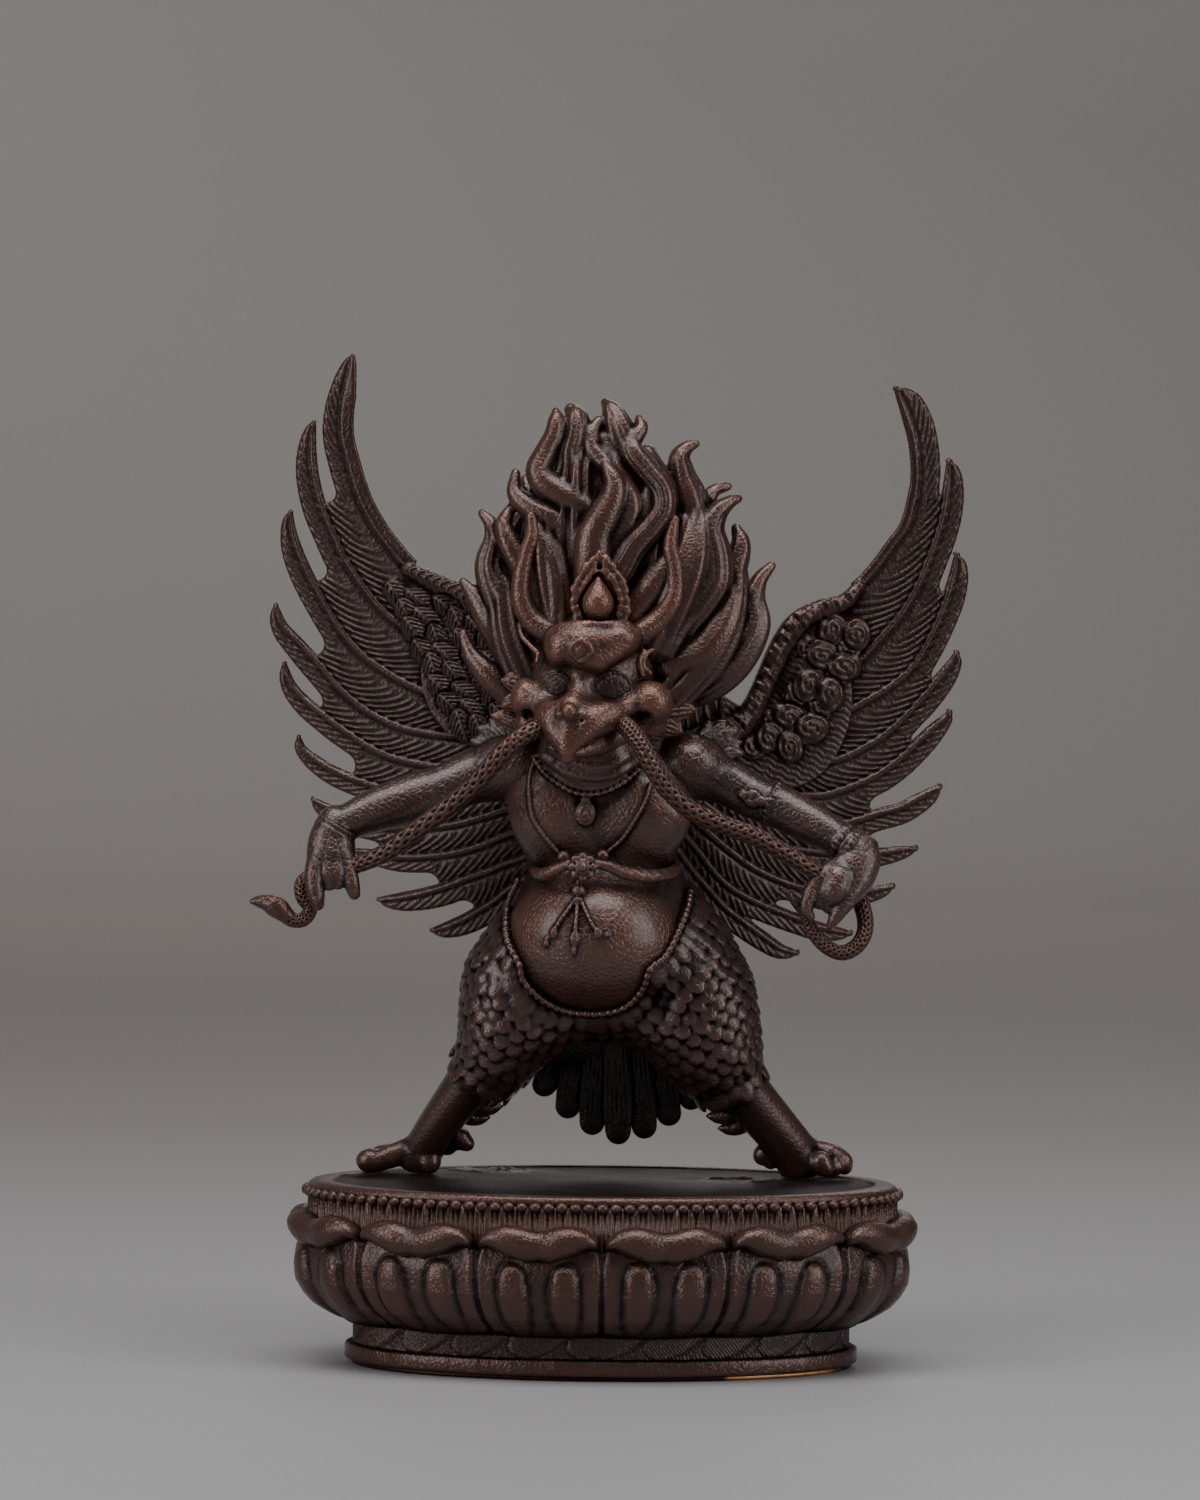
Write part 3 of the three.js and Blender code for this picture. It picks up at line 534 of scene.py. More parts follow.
lotus = {
    "coreHalf": plinthHigh[0] / mm - 3.26,  # half-length of the lotus without its petals
    "roundness": 0.578,  # depth of the oval as a share of its length
    "top": plinthHigh[2] / mm,
    "petals": 12,
    "columns": 52,  # of the mesh, to each petal
    "dish": 0.25,  # how far the top is sunk inside its rim
    "beads": 112,
    "beadDrop": 1.3,  # from the top to the middle of the beads
    "neckTop": 5.6,
    "neckInset": 5.6,
    # how far it has drawn in towards the neck, as a share, at heights from the neck upwards
    "narrowing": ((5.6, 6.6, 7.8, 9.2, 10.8, 12.8, 14.8, 30), (1, 0.76, 0.5, 0.3, 0.15, 0.06, 0.02, 0.0)),
    # the curled lip of a petal from its middle to its end: upper and lower edge under the top
    "lip": {
        "out": 3.5,
        "edges": (0, 0.1, 0.2, 0.32, 0.44, 0.55, 0.66, 0.78, 0.88, 0.94, 0.97, 1.0),
        "high": (-4.2, -4.1, -3.85, -3.6, -3.5, -3.5, -3.7, -4.05, -4.65, -5.2, -5.9, -6.6),
        "low": (-7.8, -7.85, -7.85, -7.7, -7.45, -7.05, -6.6, -6.25, -6.2, -6.35, -6.6, -6.8),
        "full": (0.9, 0.92, 0.96, 1.0, 1.0, 0.98, 0.93, 0.86, 0.78, 0.6, 0.25, 0.0),
    },
    "pod": {"aside": 0.208, "halfWidth": 0.118, "height": 10.4, "halfHeight": 4.7, "rise": 0.85},
    "wall": 1.6,
}


def ovalColumns(count, half):
    # angles that space columns evenly around an oval, from the middle of its front
    angles = np.linspace(-0.5, 1.5, 7201) * math.pi
    steps = np.hypot(np.diff(np.cos(angles)), np.diff(np.sin(angles)) * lotus["roundness"])
    walked = np.concatenate([[0], np.cumsum(steps)])
    goals = np.arange(count) / count * walked[-1]
    return np.interp(goals, walked, angles), walked[-1] * half


def ovalPoints(angles, half, away, height):
    # points at a half-length, then away from the oval along its normal
    normal = normalise(np.stack([np.cos(angles), np.sin(angles) / lotus["roundness"]], -1))
    x = half * np.cos(angles) + normal[..., 0] * away
    y = half * lotus["roundness"] * np.sin(angles) + normal[..., 1] * away
    return np.stack(np.broadcast_arrays(x, y, height), -1)


def lotusRings():
    columns = lotus["petals"] * lotus["columns"]
    angles, _ = ovalColumns(columns, lotus["coreHalf"])
    petal, share = np.divmod(np.arange(columns), lotus["columns"])
    share = share / lotus["columns"]
    rng = np.random.default_rng(12)
    vary = rng.normal(0, 1, (lotus["petals"], 4))[petal]  # no two petals quite alike
    edge = np.abs(2 * share - 1)
    core, top = lotus["coreHalf"], lotus["top"]
    rings = []

    def ring(half, away, height):
        rings.append(ovalPoints(angles, half, away, height))

    # top: a shallow dish with a turned step just inside the rounded rim
    for reach in np.linspace(0.03, 0.9, 34) ** 0.8:
        half = core * reach
        flat = ovalPoints(angles, half, 0, top - lotus["dish"])
        flat[:, 2] += topScars(flat[:, 0], flat[:, 1])
        rings.append(flat)
    rim = (
        (-2.9, -0.25), (-2.6, -0.23), (-2.35, -0.08), (-2.0, 0), (-0.8, 0), (-0.1, -0.1), (0.35, -0.4),
        (0.5, -0.8), (0.3, -1.2),
    )
    for beyond, height in rim:
        ring(core + beyond, 0, top + height)
    for height in (-1.6, -2.4, -3.2):
        ring(core, -0.35, top + height)
    # curled lip of each petal: two lobes with a dip between them
    lip = lotus["lip"]
    high, low = (np.interp(edge, lip["edges"], lip[side]) for side in ("high", "low"))
    height = top + (high + low) / 2 + 0.1 * vary[:, 0]
    tall = (high - low) / 2 * (1 + 0.03 * vary[:, 1])
    wave = 1 + 0.04 * np.cos(share * math.pi * 10 + vary[:, 2])
    out = lip["out"] * 0.5 * np.interp(edge, lip["edges"], lip["full"])
    for angle in np.radians(np.concatenate([np.linspace(135, -60, 18), np.linspace(-72, -128, 5)])):
        under = wave if angle < 0 else 1
        ring(
            core, out * 0.96 + out * 1.04 * math.cos(angle) + 0.1,
            height + tall * math.sin(angle) * under,
        )
    # body of the petal with its two pods
    pod = lotus["pod"]
    bottom = lotus["neckTop"] - 0.25 + 0.9 * edge**4
    start = height - tall * 0.8
    for down in np.linspace(0.03, 1, 46):
        level = start + (bottom - start) * down
        spread = np.interp(level, [14.6, 15.8, 16.6, 17.4, 19], [1.03, 1.0, 0.965, 0.93, 0.9])
        curve = np.clip((spread - edge) / 0.13, 0, 1)
        floor = np.interp(level, [5.3, 8, 11], [0.0, 0.4, 0.62])
        swell = np.interp(level, [5.3, 6.2, 8, 11, 14, 16, 18], [1.1, 1.7, 2.2, 2.35, 2.0, 1.35, 0.8])
        body = 0.15 + swell * (floor + (1 - floor) * np.sin(curve * math.pi / 2) ** 0.8)
        body += 0.16 * np.exp(-(((edge - spread + 0.09) / 0.035) ** 2))
        bulge = np.zeros(columns)
        for side in (-1, 1):
            aside = np.abs(share - 0.5 - side * pod["aside"]) / pod["halfWidth"]
            rise = np.abs(level - pod["height"] - 0.12 * vary[:, 3]) / pod["halfHeight"]
            beyond = aside**2.8 + rise**2.8
            dome = np.sqrt(np.clip(1 - beyond, 0, 1)) * pod["rise"]
            groove = 0.2 * np.exp(-(((np.sqrt(beyond) - 1.06) / 0.06) ** 2))
            bulge += np.where(beyond < 1.6, dome - groove, 0)
        ring(core - lotus["neckInset"] * np.interp(level, *lotus["narrowing"]), body + bulge, level)
    return angles, rings


def topScars(x, y):
    # two rough oval scars left by the founder beside the feet
    lift = np.zeros_like(x)
    for centre, half in (((-14.2, 14.2), (5.2, 2.4)), ((17.3, 4.6), (4.4, 2.5))):
        apart = np.hypot((x - centre[0]) / half[0], (y - centre[1]) / half[1])
        rough = np.array([noise.noise(Vector((a * 0.9, b * 1.3, 3.1))) for a, b in zip(x, y)])
        lift += np.where(apart < 1.3, np.exp(-(((apart - 0.9) / 0.22) ** 2)) * 0.22 * (1 + rough), 0)
        lift -= np.where(apart < 0.85, 0.16 * (1 + 1.4 * rough), 0)
    return lift


def makeLotus(finish):
    angles, rings = lotusRings()
    core = lotus["coreHalf"]
    neck = core - lotus["neckInset"]
    rng = np.random.default_rng(5)
    wobble = np.convolve(np.tile(rng.normal(0, 0.5, len(angles)), 3), np.ones(31) / 31, "same")
    wobble = wobble[len(angles) : 2 * len(angles)]
    rings.append(ovalPoints(angles, neck, -0.3, lotus["neckTop"] - 0.4))
    rings.append(ovalPoints(angles, neck, -0.3, 2.75))
    flange = ((0.9, 2.62), (1.15, 2.55), (1.28, 2.3), (1.26, 1.6), (1.3, 1.0), (1.2, 0.72), (1.0, 0.62))
    for away, height in flange:
        rings.append(ovalPoints(angles, neck, away + wobble * 0.6, height + wobble * 0.25))
    wall = lotus["wall"]
    rings.append(ovalPoints(angles, neck, -wall, 0.62))
    rings.append(ovalPoints(angles, neck, -wall, lotus["neckTop"]))
    rings.append(ovalPoints(angles, core - 0.5, -wall, 12.0))
    rings.append(ovalPoints(angles, core - 0.5, -wall, lotus["top"] - wall))
    top = [0, 0, lotus["top"] - lotus["dish"]]
    inside = [0, 0, lotus["top"] - wall]
    shape = skinRings(np.array(rings), np.array(top), np.array(inside))
    makePiece("lotus_petals", shape, 80000, finish, "lotus_plinth", figureSpace=False)


def carvedBand(columns, rows, half, relief, inner=-0.9):
    # a carved band round the lotus: rows of heights, relief from the share around and the height
    angles, around = ovalColumns(columns, half)
    share = np.arange(columns) / columns
    rings = [ovalPoints(angles, half, inner, rows[0])]
    for height in rows:
        rings.append(ovalPoints(angles, half, relief(share * around, height), height))
    rings.append(ovalPoints(angles, half, inner, rows[-1]))
    rings = np.array(rings)
    count, sides = rings.shape[:2]
    ring, side = np.meshgrid(np.arange(count), np.arange(sides), indexing="ij")
    here, beside = ring * sides + side, ring * sides + (side + 1) % sides
    up, upBeside = (ring + 1) % count * sides + side, (ring + 1) % count * sides + (side + 1) % sides
    faces = np.concatenate([
        np.stack([here, beside, up], -1).reshape(-1, 3),
        np.stack([beside, upBeside, up], -1).reshape(-1, 3),
    ])
    return rings.reshape(-1, 3), faces


def makeTrim(finish):
    # band of stamens, beaded roll and carved neck
    core, top = lotus["coreHalf"], lotus["top"]

    def stamens(place, height):
        ridge = np.abs(np.cos(place / 0.62 * math.pi)) ** 0.8
        return 0.28 + 0.3 * ridge + 0.08 * np.cos(place / 4.1)

    band = carvedBand(1680, np.linspace(14.0, top - lotus["beadDrop"], 8), core, stamens)

    def tongues(place, height):
        # leaf tongues that lean to both sides of the middle, hatched with fine lines
        width = 7.3
        tall = (height - 2.6) / 3.0
        lean = place - 1.9 * tall
        cell = (lean / width + 0.5) % 1 - 0.5
        half = 0.46 * math.sqrt(max(0.0, 1 - (1 - tall) ** 2.2))
        over = np.abs(cell) < half
        outline = np.exp(-(((np.abs(cell) - half) / 0.035) ** 2))
        slope = np.where(over, 1.0, -1.0)
        hatch = np.cos((cell * width * slope * 0.9 + height * 1.3) / 0.42 * 2 * math.pi)
        return 0.12 + 0.17 * over + 0.06 * hatch - 0.11 * outline

    neckHalf = core - lotus["neckInset"]
    neck = carvedBand(1320, np.linspace(2.5, lotus["neckTop"] + 0.6, 20), neckHalf, tongues)
    beads = []
    angles, _ = ovalColumns(lotus["beads"], core)
    rng = np.random.default_rng(7)
    for angle in angles:
        x, y, z = ovalPoints(np.array([angle]), core, 0.75, top - lotus["beadDrop"])[0]
        turn = math.degrees(math.atan2(math.cos(angle) * lotus["roundness"], -math.sin(angle)))
        size = rng.normal(1, 0.05, 3)
        beads.append(ball((x, y, z), np.array([0.8, 0.6, 0.6]) * size, (0, 0, turn), sides=10))
    trim = together([band, neck, *beads])
    makePiece("plinth_trim", trim, 60000, finish, "lotus_plinth", figureSpace=False)


def makePlate(finish):
    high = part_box("base_plate")[1]
    half = high[0] / mm - 0.12
    columns = 480
    angles, _ = ovalColumns(columns, half)
    rng = np.random.default_rng(3)
    wobble = np.convolve(np.tile(rng.normal(0, 0.35, columns), 3), np.ones(25) / 25, "same")
    wobble = wobble[columns : 2 * columns]
    thick = high[2] / mm
    edge = (
        (-6, 0), (-0.25, 0), (-0.05, 0.06), (0.02, 0.2), (0.02, 0.42), (-0.06, 0.55), (-0.3, thick),
        (-6, thick),
    )
    rings = [ovalPoints(angles, half, away + wobble, height) for away, height in edge]
    shape = skinRings(np.array(rings), np.array([0, 0, 0.0]), np.array([0, 0, thick]))
    makePiece("sealing_plate", shape, 20000, finish, "base_plate", figureSpace=False)


# Sculpting helpers


def leaf(root, tip, rise, width, depth, ribDepth, sides, fine=7):
    # a leaf or small feather from its root to its tip, with lengthwise ribs
    middle = [(a + b) / 2 for a, b in zip(root, tip)]
    middle[2] += rise
    return leafAlong([root, middle, tip], width, depth, ribDepth, sides, fine)


def leafAlong(line, width, depth, ribDepth, sides, fine=7):
    profile = ((0, 0.6), (0.3, 1.0), (0.6, 0.9), (0.85, 0.5), (1, 0.1))  # share along, share of the width
    ribs = 4
    points = smoothLine(line, 7)
    shape = np.interp(np.linspace(0, 1, 7), *zip(*profile))
    rows = [(*point, width * girth, depth * (0.5 + 0.5 * girth)) for point, girth in zip(points, shape)]

    def relief(share, turn):
        fade = np.clip(share / 0.08, 0, 1) * np.clip((1 - share) / 0.2, 0, 1)
        return ribDepth * np.cos(ribs * math.pi * np.cos(turn)) * fade

    return tube(rows, sides=sides, fine=fine, relief=relief)


def strands(seed, deep=0.22, count=11):
    # grooves that run the length of a lock and fade before its tip
    rng = np.random.default_rng(seed)
    places = np.arange(count) / count * 2 * math.pi + rng.uniform(-0.18, 0.18, count)
    sway = rng.uniform(-0.3, 0.3, count)

    def relief(share, turn):
        fade = np.clip((share + 0.1) / 0.1, 0, 1) * np.clip((0.96 - share) / 0.22, 0, 1)
        cut = 0
        for place, swing in zip(places, sway):
            apart = np.angle(np.exp(1j * (turn - place - swing * np.sin(share * 4))))
            cut = cut + np.exp(-((apart / 0.13) ** 2))
        return -deep * cut * fade

    return relief


def pebble(centre, along, normal, radii, sides=14):
    # an oval bead: its second radius points out of the surface and its third along it
    points, faces = ball((0, 0, 0), radii, sides=sides)
    along, normal = np.array(along, float), np.array(normal, float)
    side = normalise(np.cross(along, normal))
    out = np.cross(side, along)
    return points @ np.array([side, out, along]) + np.array(centre), faces


def deepened(rows, front, back, swell=1.0, tip=0.0):
    # turns rows of x, z, girth into rows of x, y, z, girth with the depth going from front to back
    count = len(rows) - 1
    return [
        (x, front + (back - front) * (i / count) ** 1.3, z, max(tip, girth * swell))
        for i, (x, z, girth) in enumerate(rows)
    ]


def rim(wax, rows, girth, lift=0.0, blend=0.12):
    # a raised line on the front of the wax
    wax.add(tube([(*row, girth) for row in wax.laid(rows, lift)], sides=10, fine=2), blend)


def beadLine(wax, rows, girth, spacing, lift, stretch=1.0):
    # a string of beads on the front of the wax
    laid = np.array([row[:3] for row in wax.laid(rows, lift, fine=14)])
    walked = np.concatenate([[0], np.cumsum(np.linalg.norm(np.diff(laid, axis=0), axis=1))])
    count = max(2, int(round(walked[-1] / spacing)))
    beads = []
    for place in np.linspace(0, walked[-1], count + 1):
        centre, after, before = (
            np.array([np.interp(spot, walked, laid[:, axis]) for axis in range(3)])
            for spot in (place, min(place + 0.2, walked[-1]), max(place - 0.2, 0))
        )
        along = normalise(after - before)
        beads.append(pebble(centre, along, (0, -1, 0.001), (girth, girth, girth * stretch), sides=10))
    wax.add(together(beads), 0.1)


# Hair: a mass of flame-like locks that stand up behind the crown


def makeHair(finish):
    wax = Wax((-21, -9.5, 54), (23, 13, 99), 0.15)
    wax.add(ball((-0.2, 2.8, 77.0), (10.0, 5.4, 12.0), sides=48))
    wax.add(ball((-0.8, 3.0, 66.5), (11.4, 6.4, 9.5), sides=48), 1.0)
    filling = (
        ((-10.4, 2.4, 79.5), (2.6, 1.8, 4.6)), ((-5.4, 2.0, 88.0), (2.4, 1.8, 6.0)),
        ((-0.4, 1.8, 90.4), (2.4, 1.8, 5.2)), ((6.0, 2.0, 85.0), (3.4, 1.8, 5.0)),
    )
    for centre, radii in filling:
        wax.add(ball(centre, radii), 1.0)
    wax.refine()
    # each lock: its depth at the root and at the tip, then x, z and girth along it
    under = {
        "middle": (0.0, 1.6, [(0, 74, 3.8), (0.6, 81, 3.8), (0.2, 87, 3.2), (-0.6, 92.4, 1.6)]),
        "upperLeft": (0.4, 1.8, [(-4.2, 78, 3.4), (-4.4, 84, 3.4), (-4.2, 89, 2.8), (-3.4, 92.5, 1.4)]),
        "upperRight": (0.4, 1.8, [(4.2, 78, 3.4), (5.6, 84, 3.2), (5.4, 88, 2.4), (4.6, 91, 1.3)]),
        "left": (-0.6, 1.6, [(-6, 68, 3.6), (-7.6, 76, 3.6), (-8.2, 82, 2.8), (-8.4, 86, 1.4)]),
        "right": (-0.8, 1.8, [(6.4, 68, 3.8), (9.4, 76, 3.8), (10.6, 81.5, 2.8), (10.8, 85.4, 1.4)]),
        "farLeft": (-0.4, 1.8, [(-9, 61, 3.0), (-12, 68, 3.0), (-13, 74, 2.4), (-14, 79, 1.1)]),
        "farRight": (-0.6, 2.0, [(8, 61, 3.2), (13, 67, 3.2), (15.4, 73, 2.4), (16, 78, 1.1)]),
    }
    for i, (front, back, rows) in enumerate(under.values()):
        lock = tube(
            deepened(rows, front - 1.4, back - 1.0), sides=64, fine=8, relief=strands(90 + i, 0.34, 21),
        )
        wax.add(lock, 0.5)
    locks = {
        "broken": (
            -0.6, 1.6,
            [
                (-3.5, 84.8, 1.5), (-4.1, 87.5, 1.6), (-4.7, 90.5, 1.75), (-4.2, 93.2, 1.65),
                (-4.3, 95.3, 1.4), (-4.9, 96.4, 0.8),
            ],
        ),
        "topWide": (
            -0.6, 2.2,
            [
                (3.6, 85.4, 1.3), (3.3, 88.6, 1.5), (2.1, 91.3, 1.65), (1.0, 94.1, 1.7),
                (0.2, 96.2, 1.25), (-0.7, 97.4, 0.4),
            ],
        ),
        "rightDark": (
            1.0, 2.4, [(10.4, 82.8, 1.1), (11.9, 84.9, 1.0), (13, 86.5, 0.8), (14.7, 87.1, 0.36)],
        ),
        "rightFold": (
            0.6, 2.0,
            [
                (12.6, 71.6, 1.5), (14.5, 74.6, 1.5), (15.8, 77.6, 1.45), (16.4, 80, 1.1),
                (15.9, 81.8, 0.61),
            ],
        ),
        "leftDark": (
            1.0, 2.2, [(-8.2, 83.6, 1.0), (-9.3, 85.4, 0.95), (-10.2, 86.6, 0.76), (-10.6, 87.7, 0.39)],
        ),
        "rightTop": (
            0.6, 1.4,
            [
                (9.6, 77.0, 1.7), (10.5, 81.9, 1.85), (9.9, 85.5, 2.0), (9, 88.5, 1.5),
                (8.7, 90.6, 1.18), (9.5, 91.8, 0.8), (10.6, 92.4, 0.36),
            ],
        ),
        "rightOuter": (
            -0.8, 2.2,
            [
                (8.6, 61, 1.9), (12.6, 62.8, 2.2), (15.9, 65.8, 2.2), (18.2, 69.7, 1.75),
                (18.1, 73, 1.3), (18.8, 75.4, 0.9), (20.3, 77.2, 0.36),
            ],
        ),
        "left3": (
            -0.8, 1.6,
            [
                (-10.6, 65.6, 1.7), (-11.9, 69.4, 1.9), (-13.5, 73.1, 2.0), (-14.8, 76.7, 1.75),
                (-14.3, 80, 1.35), (-14.8, 82.1, 0.85), (-15.9, 83.4, 0.36),
            ],
        ),
        "left4": (
            -0.8, 1.4,
            [
                (-10.0, 61.4, 1.5), (-11.3, 64.3, 1.6), (-13.2, 67.6, 1.75), (-15.2, 70.7, 1.55),
                (-16.8, 73.1, 1.0), (-18.2, 74.8, 0.36),
            ],
        ),
        "left5": (
            -1.0, 0.8,
            [
                (-10.4, 59.2, 1.3), (-12.4, 60.9, 1.4), (-15, 63.4, 1.4), (-17.1, 65.8, 0.9),
                (-18.2, 68.4, 0.33),
            ],
        ),
        "left2": (
            -2.2, 0.2,
            [
                (-8.9, 69.6, 1.5), (-9.7, 73.3, 1.5), (-10.9, 76.7, 1.45), (-12.5, 79.7, 1.3),
                (-13.2, 82.1, 0.95), (-12.1, 84.4, 0.39),
            ],
        ),
        "leftInner": (
            -2.6, 0.4,
            [
                (-4.0, 74.6, 1.2), (-4.5, 77.8, 1.3), (-5.1, 80.5, 1.45), (-7.2, 82.8, 1.65),
                (-9.9, 84.2, 1.4), (-11.8, 86, 0.95), (-11.8, 88.5, 0.36),
            ],
        ),
        "leftTop": (
            -2.4, 0.8,
            [
                (-1.8, 82.6, 1.3), (-2.9, 84.1, 1.5), (-5.6, 85.7, 1.6), (-8, 87.2, 1.55),
                (-8.9, 88.9, 1.4), (-8.2, 90.8, 1.22), (-7.1, 93.2, 1.05), (-6.8, 95.1, 0.88),
                (-6.8, 96.2, 0.45),
            ],
        ),
        "right": (
            -2.6, 0.8,
            [
                (8.2, 67.0, 1.5), (9.6, 69.8, 1.75), (11.5, 72.5, 1.95), (13.2, 75.5, 1.9),
                (13.2, 78.8, 1.7), (12.6, 81.6, 1.5), (13.4, 83.8, 1.2), (14.9, 85.1, 0.76),
                (16, 85.6, 0.36),
            ],
        ),
        "rightIn": (
            -2.8, 0.2,
            [
                (7.8, 64.4, 1.7), (11.7, 66.4, 2.0), (14.2, 69.7, 1.8), (15.3, 72.8, 1.3),
                (15.5, 74.6, 0.95), (16.2, 75.4, 0.55),
            ],
        ),
        "crownLeft": (
            -3.8, -2.2, [(-6, 70.3, 1.6), (-6.4, 74.2, 1.65), (-7.2, 78.1, 1.5), (-8.9, 81.2, 0.95)],
        ),
        "innerRight": (
            -3.4, -1.6, [(3.1, 71.1, 1.6), (5.4, 74.7, 1.75), (7.3, 77.7, 1.45), (8.1, 80.1, 0.8)],
        ),
        "midS": (
            -3.6, 0.6,
            [
                (0.2, 77.0, 1.2), (0.6, 79.6, 1.3), (1.9, 82, 1.3), (2.6, 84.7, 1.3), (1.6, 87.1, 1.2),
                (-0.5, 89.6, 1.14), (-2.2, 91.7, 0.95), (-2.2, 93.7, 0.74), (-1.5, 95.2, 0.36),
            ],
        ),
        "rightS": (
            -4.2, 1.0,
            [
                (1.5, 76.5, 1.45), (3.1, 79.5, 1.4), (5.2, 81.9, 1.35), (6.7, 84.3, 1.32),
                (6.4, 86.8, 1.3), (4.7, 88.9, 1.3), (3, 91, 1.28), (2.7, 92.5, 1.08), (3.8, 94.2, 0.78),
                (3.6, 95.4, 0.4),
            ],
        ),
        "hornBack": (
            -0.6, -1.2, [(10.6, 73.8, 1.4), (11, 77.4, 1.3), (10.2, 81, 0.96), (9.2, 83, 0.42)],
        ),
    }
    smooth = ("leftTop", "midS", "left2", "left4", "left5", "innerRight", "rightIn", "leftInner")
    for i, (name, (front, back, rows)) in enumerate(locks.items()):
        body = deepened(rows, front, back, 1.2, 0.6)
        wax.add(tube(body, sides=52, fine=7, relief=strands(i, 0.07 if name in smooth else 0.24)), 0.4)
    centre = [
        (-2.1, 74.6, 2.5), (-2.1, 78.1, 2.6), (-1.8, 80.8, 2.5), (-0.7, 83.2, 2.2), (0.4, 85.6, 1.75),
        (0.5, 87.4, 1.4), (-0.1, 88.8, 0.95), (-0.6, 89.5, 0.6),
    ]
    wax.add(tube(deepened(centre, -3.5, -2.6), sides=36, fine=6), 0.35)
    # locks of the back, in three tiers
    rng = np.random.default_rng(17)
    for spread, low, high, depth, count in (
        (8, 74, 91, 4.0, 4), (11, 64, 80, 5.2, 5), (9, 58, 70, 5.6, 4),
    ):
        deeper = 1 if depth < 5 else 0.8
        for i in range(count):
            across = spread * (2 * i / (count - 1) - 1)
            bow = 1.3 if i % 2 else -1.3
            lock = []
            for step, (t, girth) in enumerate(((0, 2.8), (0.3, 3.0), (0.6, 2.4), (0.85, 1.2), (1, 0.4))):
                x = across * (0.5 + 0.6 * t) + bow * math.sin(math.pi * t)
                lock.append(
                    (
                        x, depth + 3.4 * step / 4 * deeper, low + (high - abs(across) * 0.4 - low) * t,
                        girth,
                    )
                )
            wax.add(tube(lock, sides=56, fine=8, relief=strands(int(rng.integers(999)), 0.25, 12)), 0.5)
    # the casting flaw in the lock beside the top one, and the broken tip
    wax.cut(ball((3.1, -0.9, 90.5), (0.42, 1.6, 0.42), sides=12), 0.1)
    for x, z in ((-5.6, 96.9), (-4.6, 97.3), (-3.7, 96.7), (-5.1, 96.0)):
        wax.cut(ball((x, 0.4 + 0.3 * x, z), (0.5, 0.9, 0.4), sides=10), 0.15)
    makePiece("hair", wax.surface(), 105000, finish)


# Head: a bird's face on a fleshy human one, turned a little to the viewer's left


